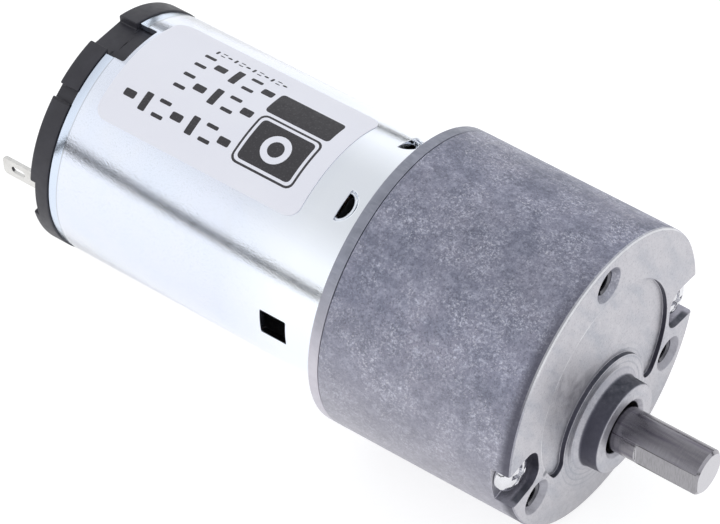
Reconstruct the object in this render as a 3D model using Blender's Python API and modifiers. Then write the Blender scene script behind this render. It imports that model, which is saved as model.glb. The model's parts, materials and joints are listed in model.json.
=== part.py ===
"""Brushed DC gear motor: a motor can on an offset spur gearbox with a D-cut output shaft.

All sizes are in millimetres and turned into metres as the meshes are made. +X runs out along the
output shaft, +Z is up, and the origin is the centre of the gearbox's front face. Angles round the
X axis are in degrees from straight up, positive towards +Y.
"""

import math

import bmesh
import bpy
from mathutils import Matrix, Vector

MM = 0.001

# Gearbox housing
BODY_R = 20.0
FRONT_R = BODY_R - 0.2
FRONT_EDGE = 0.4
SEAM_X = -27.9
WALL = 2.2
FRONT_INNER_X = -4.4
POCKET_R = 13.25
POCKET_DEPTH = 0.6
POCKET_TIP_R = 1.2
CAVITY_R = BODY_R - WALL

# Back plate, can and end cap, in order from the front
TOUCH = 0.05
PLATE_FRONT_X = SEAM_X - TOUCH
PLATE_REAR_X = -29.5
CAN_FRONT_X = PLATE_REAR_X - TOUCH
CAN_REAR_X = -73.1
CAN_R = 16.6
CAN_WALL = 1.0
CAN_BOSS_R = 4.2
CAN_BOSS_X = -28.05
CAN_SEAT_R = 3.4
CAP_R = 16.7
CAP_REAR_X = -76.0
CAP_HUB_X = -77.8
CAP_SPIGOT_R = 15.5
CAP_SPIGOT_X = -68.0
CAP_BORE_R = 14.6
CAP_FLOOR_X = -73.6
CAP_KEY_HALF_WIDTH = 2.8
CAP_NICK_HALF_WIDTH = 0.9
CAP_NICK_ANGLE = -36.0
CAP_STEP_R = 12.4

# Output shaft and its boss, straight below the centre line
SHAFT_SPOT = (0.0, -7.0)
SHAFT_R = 3.0
SHAFT_END_X = 15.0
SHAFT_SHOULDER_X = -12.1
SHAFT_CHAMFER = 0.4
JOURNAL_R = 1.5
FLAT_Y = -2.5
FLAT_START_X = 6.2
RING_R = 8.6
BOSS_BASE_R = 6.7
BOSS_R = 6.0
BOSS_FACE_X = 3.0
BOSS_HOLE_R = 3.5
BUSH_R = 4.5
BUSH_FRONT_X = 0.9
BUSH_REAR_X = -6.4
REAR_BUSH_R = 2.7
REAR_BUSH_X = (-29.4, -27.0)

# Fasteners
MOUNT_HOLE_ANGLES = (0.0, 120.0, -120.0)
MOUNT_HOLE_PITCH_R = 16.3
MOUNT_HOLE_R = 1.35
MOUNT_HOLE_DEPTH = 6.0
COUNTERSINK_R = 2.42
COUNTERSINK_DEPTH = 0.8
PAD_R = 2.9
SCREW_ANGLES = {"left": -97.0, "right": 95.0}
SCREW_PITCH_R = 16.8
SCREW_R = 1.25
SCREW_HEAD_R = 2.7
SCREW_HEAD_HEIGHT = 1.9
SCREW_POST_R = 2.3
NOTCH_HALF_WIDTH = 3.1
NOTCH_INNER_R = 14.0
NOTCH_CORNER_R = 2.2
NOTCH_DEPTH = 2.7
MOTOR_SCREW_ANGLES = {"upper": 60.0, "lower": 240.0}
MOTOR_SCREW_PITCH_R = 12.5
MOTOR_SCREW_R = 1.45
MOTOR_SCREW_HEAD_R = 2.7
MOTOR_SCREW_HEAD_HEIGHT = 1.8
MOTOR_SCREW_END_X = -33.0

# Gear train. Centre distances follow from the tooth counts and modules.
MOTOR_MODULE, MOTOR_TEETH, GEAR_1_TEETH = 0.4, 10, 21
MIDDLE_MODULE, PINION_TEETH, WHEEL_TEETH = 0.5, 11, 34
LAST_MODULE, LAST_PINION_TEETH, OUTPUT_TEETH = 0.6, 10, 27
FIRST_DISTANCE = MOTOR_MODULE * (MOTOR_TEETH + GEAR_1_TEETH) / 2
PIN_DISTANCE = MIDDLE_MODULE * (PINION_TEETH + WHEEL_TEETH) / 2
PIN_Z = math.sqrt(FIRST_DISTANCE**2 - (PIN_DISTANCE / 2) ** 2)
PIN_SPOTS = {"left": (-PIN_DISTANCE / 2, PIN_Z), "right": (PIN_DISTANCE / 2, PIN_Z)}
PIN_R = 1.25
PIN_FRONT_X = -2.2
PIN_REAR_X = -29.4
SPACER_R = 1.9
SPACER_LEFT_REAR_X = -12.4
SPACER_RIGHT_FRONT_X = -23.7
WASHER_LEFT_FRONT_X = -27.3
WASHER_RIGHT_REAR_X = -5.9
RUNNING = 0.05
PRESSED = 0.03
MOTOR_SPOT = (0.0, 0.0)

# Gears along X: the wheel's rear and front faces, then the front end of its pinion
GEAR_X = {
    "gear_1": (-27.2, -24.2, -20.4),
    "gear_2": (-23.6, -20.9, -17.0),
    "gear_3": (-20.1, -17.2, -12.5),
    "gear_4": (-16.6, -13.2, -6.0),
}
MOTOR_PINION_X = (-27.4, -24.1)
OUTPUT_GEAR_X = (-12.0, -7.0)
HUB_STEP = 0.2

# Tooth form
PRESSURE_ANGLE = math.radians(20.0)
ADDENDUM = 0.86
DEDENDUM = 1.2
TOOTH_SHARE = 0.86

# Motor inside
MAGNET_R = (12.6, 15.5)
MAGNET_X = (-64.4, -34.4)
MAGNET_HALF_ANGLE = 60.0
CORE_R = 12.0
CORE_X = (-62.0, -38.0)
CORE_HUB_R = 4.6
POLE_HALF_WIDTH = 2.5
POLE_ANGLES = (0.0, 120.0, 240.0)
SHOE_HALF_ANGLE = 48.0
SHOE_UNDER_R = 9.8
ARMATURE_R = 1.15
ARMATURE_FRONT_X = -23.95
ARMATURE_REAR_X = -76.8
COMMUTATOR_X = (-71.4, -66.4)
COMMUTATOR_R = 3.6
SLEEVE_R = 2.6
SLEEVE_X = (-72.0, -65.6)
SEGMENT_ANGLES = (60.0, 180.0, 300.0)
SEGMENT_HALF_ANGLE = 56.25
BRUSH_X = (-70.3, -67.3)
BRUSH_END_Y = 6.5
BRUSH_HALF_WIDTH = 1.5
BRUSH_ARM = ((6.6, -1.4), (6.9, 2.6), (9.0, 5.4), (12.0, 5.0), (13.65, 2.4), (13.65, -1.2))
BRUSH_ARM_THICK = 0.3
COIL_R = (5.2, 8.0)
COIL_SLACK = 0.3
COIL_BUILD = 2.2
MAGNET_SPRING_R = (14.9, 15.5)
MAGNET_SPRING_X = (-62.0, -42.0)
ARMATURE_SPACER_X = (-37.6, -31.45)
ARMATURE_SPACER_R = 2.3
ARMATURE_WASHER_X = (-72.45, -72.1)
ARMATURE_WASHER_R = 2.4
BEARING_R = 3.35
BEARING_X = (-31.3, -28.15)
REAR_BEARING_R = 3.55
REAR_BEARING_X = (-75.55, -72.55)
TERMINAL_ANGLES = {"left": -90.0, "right": 90.0}
TERMINAL_OUT = 14.0
TERMINAL_THICK = 0.5
TERMINAL_HALF_WIDTH = 1.4
TERMINAL_TIP_X = -82.6
TERMINAL_SHOULDER_X = -75.2
TERMINAL_ROOT_X = -67.5
TERMINAL_SLOT_X = -80.1

# Openings in the can
LANCE_X = -33.8
LANCE_HALF_WIDTH = 2.3
LANCE_DEPTH = 1.9
LANCE_ANGLES = (-23.3, 23.3, 156.7, 203.3)
WINDOW_X = (-39.4, -35.5)
WINDOW_HALF_WIDTH = 1.95
WINDOW_ANGLES = (-90.0, 90.0)
CAN_KEY_HALF_WIDTH = 3.35
CAN_KEY_DEPTH = 2.9

# Label on the can
LABEL_X = (-69.6, -38.2)
LABEL_ANGLES = (-38.6, 27.0)
LABEL_R = (16.64, 16.76)

# Facets
BIG_SIDES = 48
MIDDLE_SIDES = 32
SMALL_SIDES = 16
FACET = 360.0 / BIG_SIDES
REACH = 5.0

MATERIALS = {
    "cast_zinc": ((0.62, 0.62, 0.66), 1.0, 0.42),
    "plated_steel": ((0.74, 0.76, 0.82), 1.0, 0.24),
    "ground_steel": ((0.60, 0.60, 0.62), 1.0, 0.18),
    "screw_steel": ((0.78, 0.78, 0.80), 1.0, 0.2),
    "gear_steel": ((0.42, 0.42, 0.44), 1.0, 0.4),
    "brass": ((0.78, 0.60, 0.28), 1.0, 0.3),
    "terminal_tin": ((0.70, 0.69, 0.66), 1.0, 0.3),
    "sintered_bronze": ((0.55, 0.40, 0.22), 1.0, 0.55),
    "copper": ((0.80, 0.40, 0.22), 1.0, 0.3),
    "enamelled_copper": ((0.50, 0.16, 0.06), 0.6, 0.35),
    "black_plastic": ((0.03, 0.03, 0.035), 0.0, 0.55),
    "white_plastic": ((0.80, 0.80, 0.78), 0.0, 0.45),
    "ferrite": ((0.07, 0.07, 0.08), 0.0, 0.7),
    "carbon": ((0.05, 0.05, 0.05), 0.1, 0.6),
    "paper": ((0.80, 0.79, 0.86), 0.0, 0.5),
}

ALONG_X = Matrix(((0, 0, 1), (1, 0, 0), (0, 1, 0))).to_4x4()


def start_empty():
    for old in list(bpy.data.objects):
        bpy.data.objects.remove(old)
    group = bpy.data.collections.new("gear_motor")
    bpy.context.scene.collection.children.link(group)
    return group


GROUP = start_empty()


def material(name):
    found = bpy.data.materials.get(name)
    if found:
        return found
    colour, metallic, roughness = MATERIALS[name]
    made = bpy.data.materials.new(name)
    made.use_nodes = True
    shader = made.node_tree.nodes["Principled BSDF"]
    shader.inputs["Base Color"].default_value = (*colour, 1.0)
    shader.inputs["Metallic"].default_value = metallic
    shader.inputs["Roughness"].default_value = roughness
    made.diffuse_color = (*colour, 1.0)
    return made


def polar(radius, angle):
    """The (y, z) point at an angle from straight up."""
    turn = math.radians(angle)
    return (radius * math.sin(turn), radius * math.cos(turn))


# ---- Basic solids ------------------------------------------------------------------------------


def merge_flat_faces(mesh):
    """Turns each flat area into one face, which keeps later cuts clean."""
    shape = bmesh.new()
    shape.from_mesh(mesh)
    bmesh.ops.remove_doubles(shape, verts=shape.verts, dist=0.000001)
    bmesh.ops.dissolve_limit(shape, angle_limit=0.0005, verts=shape.verts, edges=shape.edges)
    bmesh.ops.recalc_face_normals(shape, faces=shape.faces)
    shape.to_mesh(mesh)
    shape.free()


def finished(name, source, turn, spot):
    """Makes a mesh object from a curve or a modified profile, closed and facing out."""
    GROUP.objects.link(source)
    graph = bpy.context.evaluated_depsgraph_get()
    mesh = bpy.data.meshes.new_from_object(source.evaluated_get(graph))
    bpy.data.objects.remove(source)
    mesh.transform(turn)
    merge_flat_faces(mesh)
    mesh.materials.clear()
    made = bpy.data.objects.new(name, mesh)
    made.location = (0.0, spot[0] * MM, spot[1] * MM)
    GROUP.objects.link(made)
    return made


def extruded(name, outlines, low, high, turn, spot):
    """A flat outline, with any holes, given thickness from low to high along its normal."""
    curve = bpy.data.curves.new(name, "CURVE")
    curve.dimensions = "2D"
    curve.fill_mode = "BOTH"
    curve.extrude = (high - low) / 2 * MM
    for outline in outlines:
        spline = curve.splines.new("POLY")
        spline.points.add(len(outline) - 1)
        for point, (u, v) in zip(spline.points, outline):
            point.co = (u * MM, v * MM, 0.0, 1.0)
        spline.use_cyclic_u = True
    lift = Matrix.Translation((0, 0, (low + high) / 2 * MM))
    return finished(name, bpy.data.objects.new(name, curve), turn @ lift, spot)


def plate(name, outlines, low, high, spot=(0.0, 0.0)):
    """Outlines in (y, z) round a spot, extruded from x low to x high."""
    return extruded(name, outlines, low, high, ALONG_X, spot)


def radial_plate(name, outlines, low, high, angle):
    """Outlines in (x, tangent) at an angle round the axis, extruded from radius low to high."""
    turn = math.radians(angle)
    along = Vector((1, 0, 0))
    tangent = Vector((0, math.cos(turn), -math.sin(turn)))
    outward = Vector((0, math.sin(turn), math.cos(turn)))
    basis = Matrix((along, tangent, outward)).transposed().to_4x4()
    return extruded(name, outlines, low, high, basis, (0.0, 0.0))


def turned(name, profile, sides, spot=(0.0, 0.0)):
    """A profile of (x, radius) points, turned round the X line through a spot."""
    mesh = bpy.data.meshes.new(name)
    points = [(x * MM, 0.0, radius * MM) for x, radius in profile]
    edges = [(n, n + 1) for n in range(len(points) - 1)]
    if profile[0][1] > 0:
        edges.append((len(points) - 1, 0))
    mesh.from_pydata(points, edges, [])
    source = bpy.data.objects.new(name, mesh)
    screw = source.modifiers.new("turn", "SCREW")
    screw.axis = "X"
    screw.steps = screw.render_steps = sides
    screw.use_merge_vertices = True
    screw.merge_threshold = 0.00001
    return finished(name, source, Matrix.Identity(4), spot)


def rod(name, low, high, radius, sides, spot=(0.0, 0.0)):
    return turned(name, [(low, 0), (low, radius), (high, radius), (high, 0)], sides, spot)


def tube(name, low, high, inner, outer, sides, spot=(0.0, 0.0)):
    profile = [(low, inner), (low, outer), (high, outer), (high, inner)]
    return turned(name, profile, sides, spot)


def combine(target, other, operation):
    """Applies one Boolean to the target and removes the other object."""
    modifier = target.modifiers.new("combine", "BOOLEAN")
    modifier.operation = operation
    modifier.solver = "EXACT"
    modifier.object = other
    bpy.context.view_layer.update()
    graph = bpy.context.evaluated_depsgraph_get()
    mesh = bpy.data.meshes.new_from_object(target.evaluated_get(graph))
    target.modifiers.remove(modifier)
    merge_flat_faces(mesh)
    target.data = mesh
    bpy.data.objects.remove(other)


def cut(target, *cutters):
    for cutter in cutters:
        combine(target, cutter, "DIFFERENCE")


def join(target, *others):
    for other in others:
        combine(target, other, "UNION")


def finish(target, surface):
    """Gives a piece its material and shades it."""
    target.data.materials.clear()
    target.data.materials.append(material(surface))
    target.data.shade_smooth()
    target.data.set_sharp_from_angle(angle=math.radians(30.0))
    return target


# ---- Outlines ----------------------------------------------------------------------------------


def box_outline(u_low, u_high, v_low, v_high):
    return [(u_low, v_low), (u_high, v_low), (u_high, v_high), (u_low, v_high)]


def rounded_box(u_low, u_high, v_low, v_high, corner):
    """A rectangle with a round at each corner."""
    outline = []
    low_u, high_u = u_low + corner, u_high - corner
    low_v, high_v = v_low + corner, v_high - corner
    centres = [(high_u, high_v), (low_u, high_v), (low_u, low_v), (high_u, low_v)]
    for quarter, (u, v) in enumerate(centres):
        for step in range(4):
            turn = math.radians(90.0 * quarter + 30.0 * step)
            outline.append((u + corner * math.cos(turn), v + corner * math.sin(turn)))
    return outline


def strip_outline(points, thickness):
    """A bent strip: a line of points, and the same line moved sideways by its thickness."""
    moved = []
    for n, (y, z) in enumerate(points):
        before, after = points[max(n - 1, 0)], points[min(n + 1, len(points) - 1)]
        dy, dz = after[0] - before[0], after[1] - before[1]
        length = math.hypot(dy, dz)
        moved.append((y + thickness * dz / length, z - thickness * dy / length))
    return points + moved[::-1]


def arc(radius, start, end, steps):
    return [polar(radius, start + (end - start) * n / steps) for n in range(steps + 1)]


def sector(inner, outer, start, end, facet=FACET):
    """A piece of a ring, between two angles."""
    steps = max(1, round((end - start) / facet))
    return arc(outer, start, end, steps) + arc(inner, end, start, steps)


def involute(angle):
    return math.tan(angle) - angle


def half_tooth(teeth, module, radius):
    """Half of a tooth's angle, in radians, at a radius."""
    pitch_r = module * teeth / 2
    base_r = pitch_r * math.cos(PRESSURE_ANGLE)
    half = TOOTH_SHARE * math.pi / (2 * teeth) + involute(PRESSURE_ANGLE)
    return half - involute(math.acos(min(1.0, base_r / radius)))


def gear_outline(teeth, module, tooth_at, flank_points):
    """A toothed outline in (y, z) with one tooth centred on the angle tooth_at."""
    pitch_r = module * teeth / 2
    root_r = pitch_r - DEDENDUM * module
    tip_r = pitch_r + ADDENDUM * module
    radii = [root_r + (tip_r - root_r) * n / (flank_points - 1) for n in range(flank_points)]
    outline = []
    for tooth in range(teeth):
        middle = tooth_at + 360.0 * tooth / teeth
        halves = [(r, math.degrees(half_tooth(teeth, module, r))) for r in radii]
        outline += [polar(r, middle - half) for r, half in halves]
        outline += [polar(r, middle + half) for r, half in reversed(halves)]
    return outline


def direction(start, end):
    """The angle from straight up of the line from one (y, z) spot to another."""
    return math.degrees(math.atan2(end[0] - start[0], end[1] - start[1]))


# ---- Gearbox housing ---------------------------------------------------------------------------


def notch_outline(angle):
    """A screw notch: open at the rim, with round inner corners."""
    half, turn = NOTCH_HALF_WIDTH, math.radians(angle)
    local = rounded_box(-half, half, NOTCH_INNER_R, BODY_R + REACH, NOTCH_CORNER_R)
    return [
        (u * math.cos(turn) + v * math.sin(turn), -u * math.sin(turn) + v * math.cos(turn))
        for u, v in local
    ]


def pocket_outline():
    """The shallow round pocket of the front face, less the flush ring round the shaft boss.

    Each end, between the pocket's edge and the ring, is a round that touches both.
    """
    shaft_z, tip = SHAFT_SPOT[1], POCKET_TIP_R
    outer, ring = POCKET_R - tip, RING_R + tip
    tip_z = (ring**2 - outer**2 - shaft_z**2) / (-2 * shaft_z)
    spot = (math.sqrt(outer**2 - tip_z**2), tip_z)
    over, under = direction((0.0, 0.0), spot), direction(SHAFT_SPOT, spot)
    right = [(spot[0] + y, spot[1] + z) for y, z in arc(tip, over, under + 180.0, 5)]
    left = [(-y, z) for y, z in reversed(right)]
    top = arc(POCKET_R, -over, over, MIDDLE_SIDES)
    bottom = [(y, z + shaft_z) for y, z in arc(RING_R, under, -under, MIDDLE_SIDES // 2)]
    return top + right[1:] + bottom[1:-1] + left[:-1]


def mounting_hole(angle):
    """A blind hole with a countersunk mouth in the front face."""
    flare = (COUNTERSINK_R - MOUNT_HOLE_R) / COUNTERSINK_DEPTH
    profile = [(0.5, 0.0), (0.5, COUNTERSINK_R + 0.5 * flare), (-COUNTERSINK_DEPTH, MOUNT_HOLE_R)]
    profile += [(-MOUNT_HOLE_DEPTH, MOUNT_HOLE_R), (-MOUNT_HOLE_DEPTH - 0.7, 0.0)]
    return turned("hole", profile, SMALL_SIDES, polar(MOUNT_HOLE_PITCH_R, angle))


def gearbox_housing():
    profile = [
        (0.0, 0.0),
        (0.0, FRONT_R - FRONT_EDGE),
        (-FRONT_EDGE, FRONT_R),
        (SEAM_X, BODY_R),
        (SEAM_X, CAVITY_R),
        (FRONT_INNER_X, CAVITY_R),
        (FRONT_INNER_X, 0.0),
    ]
    body = turned("gearbox_housing", profile, BIG_SIDES)
    inside = FRONT_INNER_X + 0.4
    cut(body, plate("pocket", [pocket_outline()], -POCKET_DEPTH, 1.0))
    boss = [(inside, 0), (inside, BOSS_BASE_R), (0.1, BOSS_BASE_R), (0.8, BOSS_R + 0.1)]
    boss += [(BOSS_FACE_X - 0.3, BOSS_R), (BOSS_FACE_X, BOSS_R - 0.3), (BOSS_FACE_X, 0)]
    join(body, turned("boss", boss, MIDDLE_SIDES, SHAFT_SPOT))
    join(body, rod("bush_seat", BUSH_REAR_X, inside, BUSH_R + 1.7, MIDDLE_SIDES, SHAFT_SPOT))
    for angle in MOUNT_HOLE_ANGLES:
        spot = polar(MOUNT_HOLE_PITCH_R, angle)
        join(body, rod("pad", -MOUNT_HOLE_DEPTH - 1.2, inside, PAD_R, SMALL_SIDES, spot))
    for angle in SCREW_ANGLES.values():
        spot = polar(SCREW_PITCH_R, angle)
        join(body, rod("post", SEAM_X + TOUCH, inside, SCREW_POST_R, SMALL_SIDES, spot))
    for angle in SCREW_ANGLES.values():
        spot = polar(SCREW_PITCH_R, angle)
        cut(body, plate("notch", [notch_outline(angle)], -NOTCH_DEPTH, 1.0))
        cut(body, rod("screw_way", SEAM_X - 1.0, 0.0, SCREW_R + 0.25, SMALL_SIDES, spot))
    for angle in MOUNT_HOLE_ANGLES:
        cut(body, mounting_hole(angle))
    for spot in PIN_SPOTS.values():
        cut(body, rod("pin_hole", -10.0, PIN_FRONT_X + 0.2, PIN_R + TOUCH, SMALL_SIDES, spot))
    cut(
        body,
        rod("bush_bore", -10.0, BUSH_FRONT_X, BUSH_R + TOUCH, MIDDLE_SIDES, SHAFT_SPOT),
        rod("boss_hole", 0.0, BOSS_FACE_X + 1.0, BOSS_HOLE_R, MIDDLE_SIDES, SHAFT_SPOT),
    )
    return finish(body, "cast_zinc")


def gearbox_back_plate():
    low, high = PLATE_REAR_X, PLATE_FRONT_X
    profile = [(low, CAN_BOSS_R + 0.2), (low, BODY_R - 0.2), (low + 0.2, BODY_R)]
    profile += [(high, BODY_R), (high, CAN_BOSS_R + 0.2)]
    body = turned("gearbox_back_plate", profile, BIG_SIDES)
    holes = [(spot, PIN_R + TOUCH) for spot in PIN_SPOTS.values()]
    holes += [(polar(SCREW_PITCH_R, a), SCREW_R + TOUCH) for a in SCREW_ANGLES.values()]
    holes += [
        (polar(MOTOR_SCREW_PITCH_R, a), MOTOR_SCREW_R + TOUCH)
        for a in MOTOR_SCREW_ANGLES.values()
    ]
    holes.append((SHAFT_SPOT, REAR_BUSH_R + TOUCH))
    for spot, radius in holes:
        sides = SMALL_SIDES if radius < 2 else MIDDLE_SIDES
        cut(body, rod("hole", low - 1.0, high + 1.0, radius, sides, spot))
    return finish(body, "plated_steel")


def pan_screw(name, seat_x, end_x, shank_r, head_r, height, spot):
    """A cross-recess pan-head screw with its head in front of seat_x."""
    top = seat_x + height
    profile = [(top, 0), (top, head_r * 0.55), (top - 0.25 * height, head_r * 0.88)]
    profile += [(top - 0.6 * height, head_r), (seat_x, head_r), (seat_x, shank_r)]
    profile += [(end_x + 0.3, shank_r), (end_x, shank_r - 0.3), (end_x, 0)]
    body = turned(name, profile, SMALL_SIDES, spot)
    arm, half = head_r * 0.55, head_r * 0.12
    for y, z in ((arm, half), (half, arm)):
        slot = box_outline(-y, y, -z, z)
        cut(body, plate("recess", [slot], top - 0.6 * height, top + 1.0, spot))
    return finish(body, "screw_steel")


def fasteners():
    seat = -NOTCH_DEPTH + TOUCH
    for side, angle in SCREW_ANGLES.items():
        spot = polar(SCREW_PITCH_R, angle)
        name = "housing_screw_" + side
        pan_screw(name, seat, PIN_REAR_X, SCREW_R, SCREW_HEAD_R, SCREW_HEAD_HEIGHT, spot)
    for place, angle in MOTOR_SCREW_ANGLES.items():
        spot = polar(MOTOR_SCREW_PITCH_R, angle)
        shape = (MOTOR_SCREW_END_X, MOTOR_SCREW_R, MOTOR_SCREW_HEAD_R, MOTOR_SCREW_HEAD_HEIGHT)
        pan_screw("motor_screw_" + place, PLATE_FRONT_X + TOUCH, *shape, spot)


# ---- Gear train --------------------------------------------------------------------------------


def compound_gear(name, spot, wheel, pinion, surface):
    """A wheel and a pinion in one piece, bored to run on a pin.

    wheel and pinion are (teeth, module, tooth angle).
    """
    rear, middle, front = GEAR_X[name]
    body = plate(name, [gear_outline(*wheel, flank_points=2)], rear, middle, spot)
    teeth = gear_outline(*pinion, flank_points=3)
    join(body, plate("pinion", [teeth], rear + HUB_STEP, front, spot))
    cut(body, rod("bore", rear - 1.0, front + 1.0, PIN_R + RUNNING, SMALL_SIDES, spot))
    return finish(body, surface)


def meshing_angles(driver_spot, driven_spot, driven_teeth):
    """Tooth angles that put a driver's tooth into a gap of the driven wheel."""
    towards = direction(driver_spot, driven_spot)
    return towards, towards + 180.0 + 180.0 / driven_teeth


def gear_train():
    left, right = PIN_SPOTS["left"], PIN_SPOTS["right"]
    motor_tooth, wheel_1 = meshing_angles(MOTOR_SPOT, left, GEAR_1_TEETH)
    pinion_1, wheel_2 = meshing_angles(left, right, WHEEL_TEETH)
    pinion_2, wheel_3 = meshing_angles(right, left, WHEEL_TEETH)
    pinion_3, wheel_4 = meshing_angles(left, right, WHEEL_TEETH)
    pinion_4, output = meshing_angles(right, SHAFT_SPOT, OUTPUT_TEETH)

    outline = gear_outline(MOTOR_TEETH, MOTOR_MODULE, motor_tooth, 3)
    pinion = plate("motor_pinion", [outline], *MOTOR_PINION_X)
    low, high = MOTOR_PINION_X
    cut(pinion, rod("bore", low - 1.0, high + 1.0, ARMATURE_R + PRESSED, SMALL_SIDES))
    finish(pinion, "brass")

    wheel = (GEAR_1_TEETH, MOTOR_MODULE, wheel_1)
    small = (PINION_TEETH, MIDDLE_MODULE)
    large = (WHEEL_TEETH, MIDDLE_MODULE)
    last = (LAST_PINION_TEETH, LAST_MODULE, pinion_4)
    compound_gear("gear_1", left, wheel, (*small, pinion_1), "white_plastic")
    compound_gear("gear_2", right, (*large, wheel_2), (*small, pinion_2), "gear_steel")
    compound_gear("gear_3", left, (*large, wheel_3), (*small, pinion_3), "gear_steel")
    compound_gear("gear_4", right, (*large, wheel_4), last, "gear_steel")

    outline = gear_outline(OUTPUT_TEETH, LAST_MODULE, output, 3)
    gear = plate("output_gear", [outline], *OUTPUT_GEAR_X, SHAFT_SPOT)
    low, high = OUTPUT_GEAR_X
    cut(gear, rod("bore", low - 1.0, high + 1.0, SHAFT_R + PRESSED, MIDDLE_SIDES, SHAFT_SPOT))
    finish(gear, "gear_steel")


def pins_and_spacers():
    inner, outer, sides = PIN_R + TOUCH, SPACER_R, SMALL_SIDES
    left, right = PIN_SPOTS["left"], PIN_SPOTS["right"]
    for side, spot in PIN_SPOTS.items():
        profile = [(PIN_REAR_X, 0), (PIN_REAR_X, PIN_R - 0.2), (PIN_REAR_X + 0.2, PIN_R)]
        profile += [(PIN_FRONT_X - 0.2, PIN_R), (PIN_FRONT_X, PIN_R - 0.2), (PIN_FRONT_X, 0)]
        finish(turned("gear_pin_" + side, profile, sides, spot), "ground_steel")
    rear, front = PLATE_FRONT_X + TOUCH, FRONT_INNER_X - TOUCH
    rings = {
        "pin_spacer_left_front": (SPACER_LEFT_REAR_X, front, left, "white_plastic"),
        "pin_spacer_right_rear": (rear, SPACER_RIGHT_FRONT_X, right, "white_plastic"),
        "pin_washer_left_rear": (rear, WASHER_LEFT_FRONT_X, left, "brass"),
        "pin_washer_right_front": (WASHER_RIGHT_REAR_X, front, right, "brass"),
    }
    for name, (low, high, spot, surface) in rings.items():
        finish(tube(name, low, high, inner, outer, sides, spot), surface)


def output_shaft():
    profile = [
        (SHAFT_END_X, 0),
        (SHAFT_END_X, SHAFT_R - SHAFT_CHAMFER),
        (SHAFT_END_X - SHAFT_CHAMFER, SHAFT_R),
        (SHAFT_SHOULDER_X, SHAFT_R),
        (SHAFT_SHOULDER_X, JOURNAL_R),
        (PIN_REAR_X, JOURNAL_R),
        (PIN_REAR_X, 0),
    ]
    body = turned("output_shaft", profile, MIDDLE_SIDES, SHAFT_SPOT)
    side = box_outline(-SHAFT_R - REACH, FLAT_Y, -REACH, REACH)
    cut(body, plate("flat", [side], FLAT_START_X, SHAFT_END_X + 1.0, SHAFT_SPOT))
    return finish(body, "ground_steel")


def output_bearings():
    inner, sides, spot = SHAFT_R + RUNNING, MIDDLE_SIDES, SHAFT_SPOT
    front = tube("output_front_bush", BUSH_REAR_X, BUSH_FRONT_X - TOUCH, inner, BUSH_R, sides, spot)
    finish(front, "sintered_bronze")
    journal = JOURNAL_R + RUNNING
    rear = tube("output_rear_bush", *REAR_BUSH_X, journal, REAR_BUSH_R, sides, spot)
    finish(rear, "sintered_bronze")
    low, high = OUTPUT_GEAR_X[1] + TOUCH, BUSH_REAR_X - TOUCH
    washer = tube("output_thrust_washer", low, high, inner, BUSH_R + 0.5, sides, spot)
    finish(washer, "brass")


# ---- Motor -------------------------------------------------------------------------------------


def half_moon(centre_x, half_width, depth):
    """An outline in (x, tangent): flat towards the rear, round towards the front."""
    steps = 8
    points = []
    for step in range(steps + 1):
        turn = math.pi * step / steps
        points.append((centre_x + depth * math.sin(turn), -half_width * math.cos(turn)))
    return points


def motor_can():
    wall = CAN_FRONT_X - CAN_WALL
    inner = CAN_R - CAN_WALL
    profile = [
        (CAN_BOSS_X, CAN_SEAT_R),
        (CAN_BOSS_X, CAN_BOSS_R),
        (CAN_FRONT_X, CAN_BOSS_R),
        (CAN_FRONT_X, CAN_R - 1.0),
        (CAN_FRONT_X - 0.3, CAN_R - 0.3),
        (CAN_FRONT_X - 1.0, CAN_R),
        (CAN_REAR_X, CAN_R),
        (CAN_REAR_X, inner),
        (wall, inner),
        (wall, CAN_SEAT_R),
    ]
    body = turned("motor_can", profile, BIG_SIDES)
    deep, out = CAN_R - 2.2, CAN_R + 1.0
    for angle in LANCE_ANGLES:
        lance = half_moon(LANCE_X, LANCE_HALF_WIDTH, LANCE_DEPTH)
        cut(body, radial_plate("lance", [lance], deep, out, angle))
    for angle in WINDOW_ANGLES:
        window = box_outline(*WINDOW_X, -WINDOW_HALF_WIDTH, WINDOW_HALF_WIDTH)
        cut(body, radial_plate("window", [window], deep, out, angle))
    rear, front, half = CAN_REAR_X - 1.0, CAN_REAR_X + CAN_KEY_DEPTH, CAN_KEY_HALF_WIDTH
    key = box_outline(rear, front, -half, half)
    cut(body, radial_plate("key", [key], deep, out, 0.0))
    for angle in MOTOR_SCREW_ANGLES.values():
        spot = polar(MOTOR_SCREW_PITCH_R, angle)
        cut(body, rod("hole", -32.0, -28.0, MOTOR_SCREW_R + TOUCH, SMALL_SIDES, spot))
    return finish(body, "plated_steel")


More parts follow.
